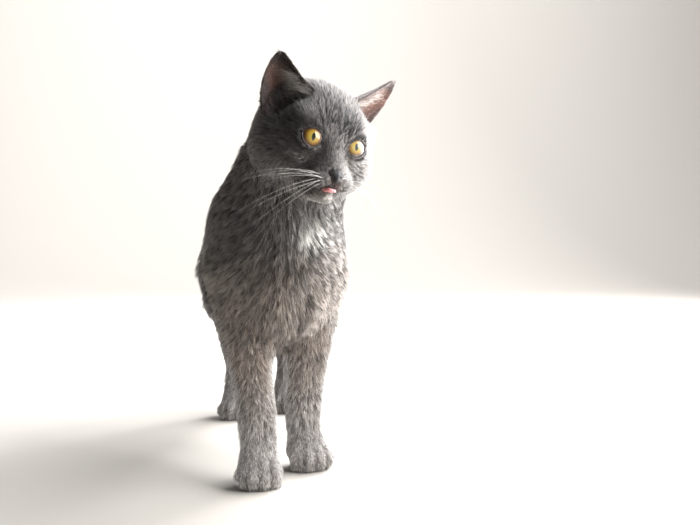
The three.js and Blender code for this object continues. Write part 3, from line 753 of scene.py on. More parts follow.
def markings_and_painted_light(rows, up, ear_part):
    """The colour of the coat's tips at each place, painted shade and light included: packed rows, skin
    normals, share of ear.
    """
    here = to_head(rows) / MM
    facing = up @ HEAD_AXES
    x, y, z = here.T
    wide = np.abs(x)
    colour = np.tile(BLUE, (len(rows), 1))

    def mix(other, share):
        nonlocal colour
        share = np.clip(share, 0, 1)[:, None]
        colour = colour * (1 - share) + other * share

    # The body: back, chest and belly, the low chest warmed partly as painted light shining through it,
    # feet, a painted rim of light on the sides of the front legs, breast.
    mix(BLUE_BACK, fade(rows[:, 2], 0.16, 0.27) * fade(rows[:, 1], -0.23, -0.12))
    # The warm tint low on the chest is partly the coat's own colour and partly painted light shining
    # through the fur.
    low_chest = fade(rows[:, 2], 0.235, 0.15) * fade(rows[:, 2], 0.03, 0.09)
    mix(WARM, 0.5 * low_chest * fade(rows[:, 1], -0.05, -0.17))
    mix(WARM, 0.3 * fade(rows[:, 2], 0.15, 0.11) * fade(up[:, 2], 0.1, -0.7))
    mix(PALE, 0.8 * fade(rows[:, 2], 0.12, 0.02))
    # Paler on the sides of the front legs: a painted rim of light.
    front_legs = fade(rows[:, 2], 0.2, 0.12) * fade(rows[:, 1], -0.05, -0.15)
    mix(PALE, 0.6 * front_legs * fade(np.abs(up[:, 0]), 0.45, 0.95))
    mix(WHITE, 1.8 * spot(rows, BREAST_PATCH, (0.011, 0.03, 0.0105)) ** 1.3)

    # The head: muzzle, brows, corners and rims of the eyes, chin and forehead.
    on_head = fade(-y, -60, -30) * fade(z, -75, -55) * fade(wide, 75, 62) * (1 - ear_part)
    mix(PALE, 0.4 * on_head * spot(here, (0, -58, -28), (16, 18, 9)))
    for side in (-1, 1):
        mix(PALE, 0.45 * on_head * spot(here, (19 * side, -42, -11), (9, 9, 4)))
        mix(DARK, 0.75 * on_head * spot(here, (9.8 * side, -48, -7), (2.2, 5, 4.5)))
        from_eye = eye_axes(side) @ (here * MM - ball_middle(side)).T
        off = np.linalg.norm(from_eye[:2], axis=0) - lid_reach(np.arctan2(from_eye[1], from_eye[0]))
        mix(DARK, 0.9 * on_head * fade(off, 1.4 * MM, 0.3 * MM) * (from_eye[2] > 0))
    mix(CHIN, 1.4 * on_head * spot(here, (-1, -47, -46.5), (12, 14, 4.9)))
    brow = on_head * fade(z, 6, 14) * fade(z, 44, 32) * fade(-y, 10, 25)
    for (x0, z0), (x1, z1), width, strength in STREAKS:
        t = np.clip((z - z0) / (z1 - z0), 0, 1)
        off = (x - (x0 + (x1 - x0) * t) - 0.9 * np.sin(z / 2.7 + x0)) / 1.2
        ends = fade(z, z0 - 2, z0 + 2) * fade(z, z1 + 3, z1 - 3)
        mix(DARK, 1.6 * strength * brow * ends * np.exp(-((off / width) ** 2)))
    # The wings of the nose darkened as painted shade, the dots of the whiskers, the dark lips with painted
    # shade in the mouth line and cleft, and painted shade under the pads.
    for side in (-1, 1):
        # Painted shade beside the wings of the nose.
        mix(DARK, 0.75 * on_head * spot(here, (7.5 * side, -57, -24), (2.2, 5, 4)))
    for across, height in pad_dots():
        near = ((wide - across) / PAD_DOT) ** 2 + ((z - height) / (PAD_DOT * 0.7)) ** 2
        mix(DARK, 0.7 * on_head * np.exp(-near) * fade(-y, 36, 43))
    near_face = np.flatnonzero((np.abs(y + 50) < 20) & (np.abs(z + 35) < 14) & (wide < 30))
    # Dark along the mouth line and the cleft: partly the lips' own dark skin, partly painted shade in these
    # grooves.
    for line, reach in ((LIP_LINE, 2.2), (CLEFT, 1.2)):
        apart = np.full(len(rows), 99.0)
        gaps = here[near_face, None] - line[None]
        apart[near_face] = np.sqrt((gaps * gaps).sum(axis=2).min(axis=1))
        mix(DARK, 0.9 * np.exp(-((apart / reach) ** 2)))
    for side in (-1, 1):
        mix(DARK, 0.95 * on_head * spot(here, (13.5 * side, -44, -41.5), (5.5, 10, 3.4)))
    # The bare side of the ears, partly painted light shining through them, painted shade low in their
    # bowls, the soles, and painted shade in the clefts of the toes.
    for side in (-1, 1):
        open_side = fade(facing @ ear_facing(side), 0.05, 0.3) * (x * side > 0)
        across, height, _ = ear_place(here, side)
        # Bare inner ear: its own skin colour, partly painted light shining through the ear.
        mix(EAR_SKIN_LIT_THROUGH, 0.95 * open_side * ear_part)
        at_edge = np.clip(fade(np.abs(across), 0.45, 0.85) + fade(height, 0.62, 0.9), 0, 1)
        mix(EAR_EDGE, open_side * ear_part * at_edge)
        # Painted shade low in the bowl in front of the ear, on skin facing the ear's opening.
        low = fade(np.linalg.norm(here - ear_base(side) + ear_up(side) * 3, axis=1), 27, 13)
        mix(EAR_BOWL_SHADE, 0.2 * low * fade(facing @ ear_facing(side), -0.3, 0.2))
    mix(SOLE, fade(rows[:, 2], 0.004, 0.002) * fade(-up[:, 2], 0.3, 0.7))
    for paw in PAWS:
        own = to_paw(paw, rows)
        on_toes = (np.abs(own[:, 0]) < 24) & (own[:, 2] < 26) & (np.abs(own[:, 1]) < 34)
        # Dark lines in the clefts between the toes: painted shade.
        for across, ahead in TOE_CLEFTS:
            off = (own[:, 0] - across * (1 - 0.012 * (own[:, 1] - ahead))) / 1.3
            mix(DARK, 0.75 * on_toes * np.exp(-off * off) * fade(-own[:, 1], -ahead + 2, -ahead + 9))
    return colour * (1 + 0.08 * ripple(rows / MM, 31, 1) + 0.06 * ripple(rows / MM, 11, 2))[:, None]


# %% [markdown]
# ## The lie of the coat
# Hair grows away from the nose, back over the head, down the chest and legs and back along the
# trunk to the tail. A few guides say which way it lies at a few places. Between them the
# nearest ones are blended, and the result is laid flat on the skin.

# %% Guides on the body: solid, place in its box from 0 to 1, way the hair lies
# One off the middle has a twin on the cat's other side, and a name that ends in _ is a pair's.
BODY_GUIDES = [
    ("trunk", (0.5, 0.15, 1), (0, 1, 0.1)),
    ("trunk", (0.5, 0.5, 1), (0, 1, 0)),
    ("trunk", (0.5, 0.9, 1), (0, 1, -0.1)),
    ("trunk", (0, 0.6, 0.6), (0, 1, -0.35)),
    ("trunk", (0, 0.3, 0.5), (-0.1, 0.8, -0.7)),
    ("trunk", (0.5, 0.7, 0), (0, 1, 0)),
    ("trunk", (0.5, 0.35, 0), (0, 1, 0.1)),
    ("trunk", (0.5, 0, 0.55), (0, 0, -1)),
    ("trunk", (0.2, 0.05, 0.6), (-1, 0.35, -0.75)),
    ("trunk", (0.15, 0.05, 0.35), (-0.8, 0.35, -0.8)),
    ("trunk", (0.5, 0.05, 0.15), (0, 0.2, -1)),
    ("neck", (0.5, 0, 0.4), (0, -0.1, -1)),
    ("neck", (0, 0.4, 0.4), (-0.5, 0.5, -0.7)),
    ("neck", (0.5, 1, 1), (0, 1, -0.5)),
    ("upper_arm_front_", (0.2, 0.2, 0.5), (-0.5, 0.35, -0.85)),
    ("thigh_hind_", (0.2, 0.4, 0.5), (0, 0.6, -0.9)),
    ("forearm_front_", (0.5, 0.5, 0.8), (0, 0.1, -1)),
    ("forearm_front_", (0.5, 0.3, 0.2), (0, 0, -1)),
    ("shank_hind_", (0.5, 0.5, 0.8), (0, 0.5, -1)),
    ("shank_hind_", (0.5, 0.8, 0.2), (0, -0.2, -1)),
    ("paw_front_", (0.5, 0.6, 0.8), (0, -0.6, -0.8)),
    ("paw_hind_", (0.5, 0.6, 0.8), (0, -0.7, -0.8)),
    ("paw_front_", (0.5, 0, 0.3), (0, -0.5, -0.8)),
    ("paw_hind_", (0.5, 0, 0.3), (0, -0.5, -0.8)),
]
TAIL_GUIDES = [  # the tail bends to one side, so these have no twins
    ("tail_base", (0.5, 0, 1), (0, 0.9, -0.5)),
    ("tail_base", (0.5, 0.6, 0.5), (0, 0.35, -1)),
    ("tail_middle", (0.3, 0.2, 0.6), (0.1, 0.45, -1)),
    ("tail_middle", (0.8, 0.9, 0.1), (0.25, 1, -0.5)),
    ("tail_tip", (0.3, 0.3, 0.2), (0.3, 1, 0)),
    ("tail_tip", (0.9, 0.9, 0.8), (0.35, 1, 0.5)),
]
BODY_REACH = 22 * MM

# %% Guides on the head, in its own frame in millimetres. Those with x > 0 have a twin with -x
HEAD_GUIDES = [
    ((0, -55, -14), (0, 0.5, 1)),
    ((0, -47, 10), (0, 0.3, 1)),
    ((0, -40, 30), (0, 0.7, 1)),
    ((0, -15, 50), (0, 1, 0.3)),
    ((0, 25, 52), (0, 1, -0.3)),
    ((0, 54, 15), (0, 0.3, -1)),
    ((13, -56, -27), (1, 0.6, -0.2)),
    ((7, -59, -33), (0.8, 0.3, -0.7)),
    ((5, -57, -20), (0.7, 0.4, 0.5)),
    ((9, -48, -4), (0.3, 0.4, 1)),
    ((27, -42, -14), (0.9, 0.7, -0.3)),
    ((18, -44, -13), (0.7, 0.5, -0.6)),
    ((24, -42, -28), (0.8, 0.8, -0.4)),
    ((46, -20, -18), (0.3, 1, -0.5)),
    ((52, 5, -14), (0.1, 1, -0.7)),
    ((10, -44, 12), (0.1, 0.2, 1)),
    ((21, -43, 14), (0.45, 0.2, 1)),
    ((34, -36, 6), (0.9, 0.8, 0.3)),
    ((43, -18, 18), (0.3, 1, 0.3)),
    ((20, -36, 32), (0.25, 0.7, 1)),
    ((48, 15, 10), (0, 1, -0.5)),
    ((0, -49, -48), (0, 0.7, -1)),
    ((12, -42, -43), (0.4, 0.9, -0.5)),
    ((0, -25, -50), (0, 1, -0.5)),
    ((34, -10, -42), (0.2, 1, -0.6)),
]
HEAD_REACH = 8 * MM

# %% Places and ways of all the guides
def with_twin(title, place, way):
    """A guide on the body and its twin on the left, if it has one."""
    mirrored = (1 - place[0], *place[1:]), (-way[0], *way[1:])
    if title.endswith("_"):
        return [(title + "right", place, way), (title + "left", *mirrored)]
    return [(title, place, way)] + [(title, *mirrored)] * (place[0] != 0.5)


body_guides = [guide for row in BODY_GUIDES for guide in with_twin(*row)]
spots, ways, reaches = [], [], []
for title, place, way in body_guides + TAIL_GUIDES:
    low, high = (np.array(corner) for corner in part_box(title))
    spots.append(low + (high - low) * place)
    ways.append(unit(np.array(way, float)))
    reaches.append(BODY_REACH)
for place, way in HEAD_GUIDES:
    for side in (1, -1) if place[0] else (1,):
        spots.append(from_head(np.array(place) * [side, 1, 1] * MM))
        ways.append(HEAD_AXES @ unit(np.array(way, float) * [side, 1, 1]))
        reaches.append(HEAD_REACH)
for side in (-1, 1):
    base = ear_base(side)
    along_ear = unit(np.array(EAR_TIP[side]) - base)
    for part in (0.3, 0.6, 0.9):
        middle = base + (np.array(EAR_TIP[side]) - base) * part
        spots.append(from_head(middle * MM))
        ways.append(HEAD_AXES @ along_ear)
        reaches.append(HEAD_REACH)
print("guides:", len(spots))

# %% Blend the guides over the skin
rows = places(skin)
owner = nearest_nodes(rows)
mean = mean_of_neighbours(skin)
up = normals(skin)
for _ in range(4):
    up = unit(mean(up))
lie = np.zeros_like(rows)
for at, way, reach in zip(spots, ways, reaches):
    apart = np.sum((rows - at) ** 2, axis=1) / reach**2
    lie += way * (1 / (1 + apart) ** 3)[:, None]
lie = unit(lie - up * np.sum(lie * up, axis=1, keepdims=True))
for _ in range(12):
    lie = mean(lie)
    lie = unit(lie - up * np.sum(lie * up, axis=1, keepdims=True))

# %% Coat sizes again, on the finer skin
head_share, ear_share = (mean(share_of(*names), 4) for names in (HEAD_NODES, EAR_NODES))
coat_sizes = sizes_on_skin(25)
in_head = to_head(rows)

LIP_REACH = 4
FINER_AT_LIP = [0.5, 0.62, 0.3]
lip_gap = np.full(len(rows), 99.0)
near_lip = np.flatnonzero((np.abs(in_head / MM + [0, 50, 35]) < [30, 20, 14]).all(axis=1))
gaps = in_head[near_lip, None] / MM - LIP_LINE[None]
lip_gap[near_lip] = np.sqrt((gaps * gaps).sum(axis=2).min(axis=1))
coat_sizes *= 1 - np.exp(-((lip_gap / LIP_REACH) ** 2))[:, None] * FINER_AT_LIP
print("hair from", coat_sizes[:, 1].min().round(1), "to", coat_sizes[:, 1].max().round(1), "mm long")

# %% Where no hair grows: under the lids, on nose and tongue, and on the soles
bald = np.zeros(len(rows), bool)
for side in (-1, 1):
    apart = np.linalg.norm(in_head - ball_middle(side), axis=1)
    bald |= apart < EYE_RADIUS + 0.5 * MM
bald |= (from_bare(rows, "nose") < 1.4 * MM) | (from_bare(rows, "tongue") < 0.5 * MM)
bald |= (rows[:, 2] < 3 * MM) & (up[:, 2] < -0.5)
print("bald points:", int(bald.sum()))

# %% Paint the skin
SKIN_SHADE = 0.55  # the skin is darker than the tips that cover it
colour_layer = skin.data.color_attributes.new("coat_colour", "FLOAT_COLOR", "POINT")
skin_colour = markings_and_painted_light(rows, up, ear_share[:, 0]) * SKIN_SHADE
full = np.concatenate((skin_colour, np.ones((len(rows), 1))), axis=1)
colour_layer.data.foreach_set("color", full.ravel())
print("mean colour of the skin:", skin_colour.mean(axis=0).round(3))

# %% [markdown]
# ## Tufts
# A cat has some fifty hairs under each square millimetre. A model gets by with one solid
# tuft for a few dozen hairs: a thin spike with three sides that rises from the skin, bends over
# and lies along it. Tips near one another lean together into locks, as real fur does. All tufts
# of a region are one mesh, written straight from arrays, as a hundred thousand copies of an
# object would be far too slow.

# %% Sow places on the skin
CHANCE = np.random.default_rng(7)
skin.data.calc_loop_triangles()


def triangle_rows(what):
    """Three numbers for each triangle of the skin: of its vertices or of its loops."""
    numbers = np.empty(len(skin.data.loop_triangles) * 3, np.int32)
    skin.data.loop_triangles.foreach_get(what, numbers)
    return numbers.reshape(-1, 3)


triangles, corners = triangle_rows("vertices"), triangle_rows("loops")
flat_map = np.empty(len(skin.data.loops) * 2)
skin.data.uv_layers[BAKE_MAP].data.foreach_get("uv", flat_map)
flat_map = flat_map.reshape(-1, 2)
a, b, c = (rows[triangles[:, k]] for k in range(3))
areas = np.linalg.norm(np.cross(b - a, c - a), axis=1) / 2
hairy = ~bald[triangles].any(axis=1)
face_owner = owner[triangles[:, 0]]
face_head = in_head[triangles].mean(axis=1)
print("hairy skin:", round(float(areas[hairy].sum() / MM**2 / 100)), "square cm")


# %% Places and ways at random
def sow(chosen, per_square_mm):
    """Random places on the chosen faces: their faces and their shares of the three corners."""
    weights = areas * chosen
    count = int(weights.sum() / MM**2 * per_square_mm)
    picked = CHANCE.choice(len(areas), count, p=weights / weights.sum())
    first, second = np.sqrt(CHANCE.random(count)), CHANCE.random(count)
    shares = np.stack((1 - first, first * (1 - second), first * second), axis=1)
    return picked, shares


def at_places(values, picked, shares):
    """Values of the skin's points, blended at sown places."""
    return np.einsum("nk,nkc->nc", shares, values[triangles[picked]])


def turned(ways, axes, angles):
    """Ways turned about their axes."""
    return ways * np.cos(angles)[:, None] + np.cross(axes, ways) * np.sin(angles)[:, None]


# %% One mesh from many tufts
PATCH = 0.003
RING = np.radians([90, 210, 330])
FLATNESS = 0.6
LOWEST = 0.1 * MM  # over the floor
RING_SPREAD = np.array([[-0.5, 0.5, 0.0], [-0.5, -0.5, -0.4]])  # on the map, in patches


def write_mesh(title, points, faces_of_one, count, colours, map_places):
    """A mesh of count equal tufts. faces_of_one lists the faces of one tuft by point number."""
    each = points.shape[1]
    points[..., 2] = np.maximum(points[..., 2], LOWEST)
    loops = np.concatenate([np.array(face) for face in faces_of_one])
    starts = np.cumsum([0] + [len(face) for face in faces_of_one[:-1]])
    shift = np.arange(count)[:, None]
    all_loops = (loops[None] + shift * each).ravel()
    all_starts = (starts[None] + shift * len(loops)).ravel()
    mesh = bpy.data.meshes.new(title)
    mesh.vertices.add(count * each)
    mesh.loops.add(len(all_loops))
    mesh.polygons.add(len(all_starts))
    mesh.vertices.foreach_set("co", points.ravel())
    mesh.loops.foreach_set("vertex_index", all_loops)
    mesh.polygons.foreach_set("loop_start", all_starts)
    mesh.polygons.foreach_set("use_smooth", np.ones(len(all_starts), bool))
    mesh.update(calc_edges=True)
    layer = mesh.color_attributes.new("coat_colour", "FLOAT_COLOR", "POINT")
    full = np.concatenate((colours, np.ones(colours.shape[:2] + (1,))), axis=2)
    layer.data.foreach_set("color", full.ravel())
    flat = mesh.uv_layers.new(name=BAKE_MAP)
    flat.data.foreach_set("uv", map_places.reshape(-1, 2)[all_loops].ravel())
    piece = bpy.data.objects.new(title, mesh)
    bpy.context.collection.objects.link(piece)
    return piece


# %% Tufts along spines
def tuft_piece(title, spine, side_ups, widths, colours, map_at):
    """Tufts along spines: (tufts, 2 or 3 points, xyz). widths and colours have a row a point."""
    count, steps = spine.shape[:2]
    points, tones, patches = [], [], []
    for step in range(steps - 1):
        ahead = unit(spine[:, step + 1] - spine[:, max(step - 1, 0)])
        across = unit(np.cross(side_ups, ahead))
        above = np.cross(ahead, across)
        for corner, angle in enumerate(RING):
            ring = math.cos(angle) * across + FLATNESS * math.sin(angle) * above
            points.append(spine[:, step] + ring * widths[:, step, None] / 2)
            tones.append(colours[:, step])
            shift = RING_SPREAD[:, corner] * [1 - 0.1 * step, 1]
            shift[1] += step / (steps - 1)
            patches.append(map_at + shift * PATCH)
    points.append(spine[:, -1])
    tones.append(colours[:, -1])
    patches.append(map_at + np.array([0, 0.5]) * PATCH)
    faces = [(2, 1, 0)]
    for step in range(steps - 2):
        base = step * 3
        faces += [(base + k, base + (k + 1) % 3, base + 3 + (k + 1) % 3, base + 3 + k) for k in range(3)]
    last = (steps - 2) * 3
    faces += [(last + k, last + (k + 1) % 3, last + 3) for k in range(3)]
    return write_mesh(
        title, np.stack(points, 1), faces, count, np.stack(tones, 1), np.stack(patches, 1)
    )


# %% Height over the skin
skin_tree = tree_of(rows)


def cleared(spots, wanted):
    """The spots, lifted where they lie less than the wanted height over the skin."""
    nearest = np.array([skin_tree.find(spot_at)[1] for spot_at in spots])
    height = np.sum((spots - rows[nearest]) * up[nearest], axis=1)
    return spots + up[nearest] * np.maximum(wanted - height, 0)[:, None]


# %% Locks
LOCK_SIZE = 0.27  # a lock is this part of the hair's length wide
LOCK_TONE = 0.15
TRIAL = 0.05  # places to a square millimetre, to measure the hair of a region


def make_locks(chosen, wander, squeezed):
    """Tips that the tufts near them lean to. Squeezed space makes the locks long and narrow."""
    picked, shares = sow(chosen, TRIAL)
    spacing = np.median(at_places(coat_sizes, picked, shares)[:, 1]) * LOCK_SIZE
    faces, shares = sow(chosen, 1 / spacing**2)
    root = at_places(rows, faces, shares)
    above = unit(at_places(up, faces, shares))
    depth, length, _ = (at_places(coat_sizes, faces, shares) * MM).T
    count = len(root)
    way = turned(unit(at_places(lie, faces, shares)), above, CHANCE.normal(0, wander, count))
    rise = depth * CHANCE.uniform(0.6, 1.1, count)
    reach = length * CHANCE.uniform(0.8, 1.25, count)
    along = unit(way.mean(axis=0))
    squeeze = np.eye(3) - squeezed * np.outer(along, along)
    tree = tree_of(root @ squeeze)
    tone = CHANCE.normal(0, LOCK_TONE * (1 + squeezed), count)
    return tree, squeeze, root + way * reach[:, None] + above * rise[:, None], tone, spacing * MM


# %% One layer of tufts
SINK = 0.35 * MM
# Tufts far from the middle of their lock are darkened: painted shade in the gaps between locks.
HAIR_TONE, LOCK_GAP_SHADE = 0.44, 0.55
# Each tuft is lightened at its tip as painted light on the tips.
TIP_PAINTED_LIGHT = 1.8
TRIANGLES = {2: 4, 3: 10}  # of a tuft, by its steps


def grow(title, chosen, locks, per_square_mm, steps, thin=1.0, gather=0.55, wander=0.2, rise=(0.6, 1.1)):
    """A coat over the chosen faces. steps is 2 for straight tufts and 3 for bent ones."""
    picked, shares = sow(chosen, per_square_mm)
    count = len(picked)
    root = at_places(rows, picked, shares)
    above = unit(at_places(up, picked, shares))
    depth, length, width = (at_places(coat_sizes, picked, shares) * MM).T
    tree, squeeze, lock_tips, lock_tones, lock_width = locks
    found = [tree.find(spot_at) for spot_at in root @ squeeze]
    mine = np.array([index for _, index, _ in found])
    off_lock = np.clip(np.array([apart for _, _, apart in found]) / lock_width, 0, 1)

    way = turned(unit(at_places(lie, picked, shares)), above, CHANCE.normal(0, wander, count))
    reach = length * CHANCE.uniform(0.75, 1.15, count)
    lift = depth * CHANCE.uniform(*rise, count)
    own_tip = root + way * reach[:, None] + above * lift[:, None]
    pull = np.clip(CHANCE.normal(gather, 0.18, count), 0, 0.92)[:, None]
    tip = own_tip * (1 - pull) + lock_tips[mine] * pull
    tip = cleared(tip, lift * 0.8)
    bend = cleared(root + (tip - root) * 0.45 + above * (lift * 0.32)[:, None], lift * 0.5)
    spine = np.stack((root - above * SINK, bend, tip)[:: 1 if steps == 3 else 2], axis=1)

    tone = markings_and_painted_light(root, above, at_places(ear_share, picked, shares)[:, 0])
    # The last term darkens tufts far from their lock's middle: painted shade in the gaps between locks.
    varied = 1 + lock_tones[mine] + CHANCE.normal(0, HAIR_TONE, count) - LOCK_GAP_SHADE * off_lock
    tone = tone * np.clip(varied, 0.25, 1.8)[:, None]
    # Along each tuft: painted shade at the root, painted light at the tip.
    painted_light_along_tuft = (ROOT_PAINTED_SHADE * ROOT_SHADE_TINT, 0.7, TIP_PAINTED_LIGHT)[:: 1 if steps == 3 else 2]
    colours = np.stack([np.clip(tone * shade, 0.004, 0.95) for shade in painted_light_along_tuft], axis=1)
    spread = CHANCE.uniform(0.75, 1.2, count) * width * thin
    widths = np.stack([spread, spread * 0.72][: steps - 1], axis=1)
    map_at = np.einsum("nk,nkc->nc", shares, flat_map[corners[picked]])
    piece = tuft_piece(title, spine, above, widths, colours, map_at)
    print(title, count, "tufts", count * TRIANGLES[steps], "triangles")
    return piece


# %% Regions of the coat: their faces, and the tufts to a square millimetre of each layer
def belongs(*parts):
    """Faces of the solids whose names start with one of the parts."""
    numbers = [number for number, solid in enumerate(NODES) if solid.startswith(parts)]
    return np.isin(face_owner, numbers) & hairy


FACE_END, BREAST_END, LOIN = -22 * MM, -0.13, 0.0
face_rows = rows[triangles].mean(axis=1)
head_faces = belongs("head", "lower_jaw", "nose", "tongue", "eye")
front = face_head[:, 1] < FACE_END
fore = face_rows[:, 1] < BREAST_END
hind = face_rows[:, 1] >= LOIN
bent = {"steps": 3, "wander": 0.22, "thin": 0.62, "gather": 0.75, "rise": (0.8, 1.2)}
fine_hair = {"steps": 2, "thin": 0.6, "gather": 0.4, "rise": (0.35, 0.9)}
short = {"steps": 2}
regions = {
    "face": (head_faces & front, [(2.15, short)]),
    "skull": (head_faces & ~front, [(1.3, short)]),
    "ears": (belongs("ear"), [(1.9, short)]),
    "neck": (belongs("neck"), [(0.35, bent), (1.3, fine_hair)]),
    "breast": (belongs("trunk") & fore, [(0.34, bent), (1.04, fine_hair)]),
    "shoulders": (belongs("upper_arm") & fore, [(0.34, bent), (1.04, fine_hair)]),
    "flanks": (belongs("trunk", "upper_arm", "thigh") & ~fore & ~hind, [(0.15, bent), (0.42, fine_hair)]),
    "rump": (belongs("trunk", "upper_arm", "thigh") & hind, [(0.15, bent), (0.42, fine_hair)]),
    "forearms": (belongs("forearm"), [(0.25, bent), (1.05, {**fine_hair, "thin": 0.8})]),
    "shanks": (belongs("shank"), [(0.2, bent), (0.65, {**fine_hair, "thin": 0.85})]),
    "paws": (belongs("paw"), [(1.25, short)]),
    "tail": (belongs("tail"), [(0.2, bent), (0.55, fine_hair)]),
}
print("regions of the coat:", len(regions))

# %% Grow every region
BODY_SQUEEZE = 0.65
LOCK_WANDER = 0.24
LAYERS = ("coat", "topcoat")
coats = []
for title, (chosen, layers) in regions.items():
    print(title, "area", round(float(areas[chosen].sum() / MM**2)), "square mm")
    locks = make_locks(chosen, LOCK_WANDER, BODY_SQUEEZE if len(layers) > 1 else 0)
    for layer, (per_square_mm, style) in zip(LAYERS, layers):
        coats.append(grow(f"{layer}_{title}", chosen, locks, per_square_mm, **style))

# %% [markdown]
# ## Whiskers, brow hairs and the long hairs of the ears
# Whiskers are single stiff hairs, thick as bristle at the root and running out to nothing. They
# stand in rows on the pads and sweep out and back in one even bend. Each is a tapered closed
# spike like a tuft, only longer and in more steps.


# %% Bent single hairs
def strands(title, hairs, tone, steps=9):
    """Hairs in the head's frame: root, way, bend, length, thickness and share of the tone of each."""
    roots, ways, bends = (np.array([hair[k] for hair in hairs]) for k in range(3))
    lengths, thickness = (np.array([hair[k] for hair in hairs]) * MM for k in (3, 4))
    tones = tone * np.array([hair[5] for hair in hairs])[:, None]
    roots, ways, bends = from_head(roots * MM), unit(ways) @ HEAD_AXES.T, bends @ HEAD_AXES.T
    t = np.linspace(0, 1, steps)[None, :, None]
    spine = roots[:, None] + lengths[:, None, None] * (ways[:, None] * t + bends[:, None] * t * t)
    taper = (1 - 0.85 * t[:, :-1, 0]) * thickness[:, None]
    colours = np.repeat(tones[:, None], steps, axis=1) * (0.8 + 0.25 * t)
    side_ups = unit(np.cross(ways, unit(bends + [1e-6, 0, 0])))
    faces = [skin.closest_point_on_mesh(Vector(root))[3] for root in roots]
    map_at = np.array([flat_map[skin.data.polygons[face].loop_start] for face in faces])
    print(title, len(hairs), "hairs")
    return tuft_piece(title, spine, side_ups, taper, np.clip(colours, 0, 0.95), map_at)


# %% Whiskers and brow hairs
WHISKER_TONE = linear("#f2f0ec")
WHISKER_ROWS = (  # height, first place across, drop at the root, and length of each hair, in millimetres
    (-25.5, 15, 0.06, (44, 56)),
    (-28.0, 13, -0.1, (54, 72, 60)),
    (-30.6, 14, -0.4, (66, 74)),
    (-33.0, 13, -0.8, (46, 60)),
)
WHISKER_GAP = 3.2
WHISKER_THICKNESS, BROW_THICKNESS = 0.42, 0.28
hairs = []
for side in (-1, 1):
    for height, first, drop, row_lengths in WHISKER_ROWS:
        for n, length in enumerate(row_lengths):
            root = on_face_at(side * (first + WHISKER_GAP * n), height + 0.4 * n)
            way = np.array([side * 1.0, 0.1, (drop if side < 0 else drop * 0.5) + CHANCE.normal(0, 0.1)])
            bend = np.array([side * -0.1, 0.32, (-0.34 if side < 0 else -0.16) + CHANCE.normal(0, 0.06)])
            hairs.append((root, way, bend, length, WHISKER_THICKNESS, 1))
    for n in range(4):
        root = on_face_at(side * (15 + 3 * n), 17.5 - 0.8 * n)
        way = np.array([side * (0.25 + 0.22 * n), 0.05, 0.95])
        bend = np.array([side * 0.2, 0.5, -0.12])
        hairs.append((root, way, bend, CHANCE.uniform(20, 32), BROW_THICKNESS, 1))
bpy.context.view_layer.update()
whiskers = strands("whiskers", hairs, WHISKER_TONE)

# %% Hairs that cross the bowl of each ear from its inner edge, and tufts at the tips
EAR_HAIRS, TIP_HAIRS = 210, 30
EAR_HAIR_TONE = linear("#d8d0ca")
hairs = []
for side in (-1, 1):
    inner, outer, tip = (np.array(ends[side], float) for ends in (EAR_INNER, EAR_OUTER, EAR_TIP))
    facing = ear_facing(side)
    along = unit(tip - inner)
    across = unit(outer - inner)
    for _ in range(EAR_HAIRS):
        share = CHANCE.uniform(-0.1, 0.55)
        root = inner * (1 - share) + tip * share
        root = root + across * CHANCE.uniform(1, 8) - facing * CHANCE.uniform(0, 4)
        way = across * CHANCE.uniform(0.1, 0.9) + along * CHANCE.uniform(0.35, 1.1) + facing * 0.25
        bend = across * CHANCE.uniform(-0.1, 0.35) + along * CHANCE.uniform(-0.1, 0.3) - facing * 0.3
        size = CHANCE.uniform(10, 26) * (1 - 0.6 * share)
        hairs.append((root, way, bend, size, CHANCE.uniform(0.18, 0.32), CHANCE.uniform(0.4, 1.2)))
    for _ in range(TIP_HAIRS):
        root = tip - along * CHANCE.uniform(0, 5) + across * CHANCE.uniform(-1, 2.5)
        way = unit(tip - ear_base(side)) + CHANCE.normal(0, 0.14, 3)
        hairs.append((root, way, facing * -0.05, CHANCE.uniform(4, 8), 0.3, CHANCE.uniform(0.5, 0.9)))
ear_hairs = strands("ear_hairs", hairs, EAR_HAIR_TONE, steps=6)

# %% [markdown]
# ## Eyes
# An eye is a ball with a bulge, the cornea, in front of it. The iris is a coloured ring under the
# cornea, with fine fibres that run from the pupil to its dark rim. The pupil is an upright slit.
# The ball gets a map of its own, whose middle is the pupil, so that the material can draw the
# iris round it.

# %% Eyeballs
GAZE = {-1: (-13, 5), 1: (-9, 10)}  # degrees to the cat's left, and upwards
CORNEA_BULGE, CORNEA_REACH = 0.7 * MM, 0.75
GAZE_MAP = "gaze"


def gaze_axes(side):
    """Rows: across, up and along the gaze, in the head's frame."""
    turn, rise = (math.radians(angle) for angle in GAZE[side])
    out = np.array([math.sin(turn) * math.cos(rise), -math.cos(turn) * math.cos(rise), math.sin(rise)])
    across = unit(np.cross(np.array([0, 0, 1.0]), out))
    return np.array([across, np.cross(out, across), out])


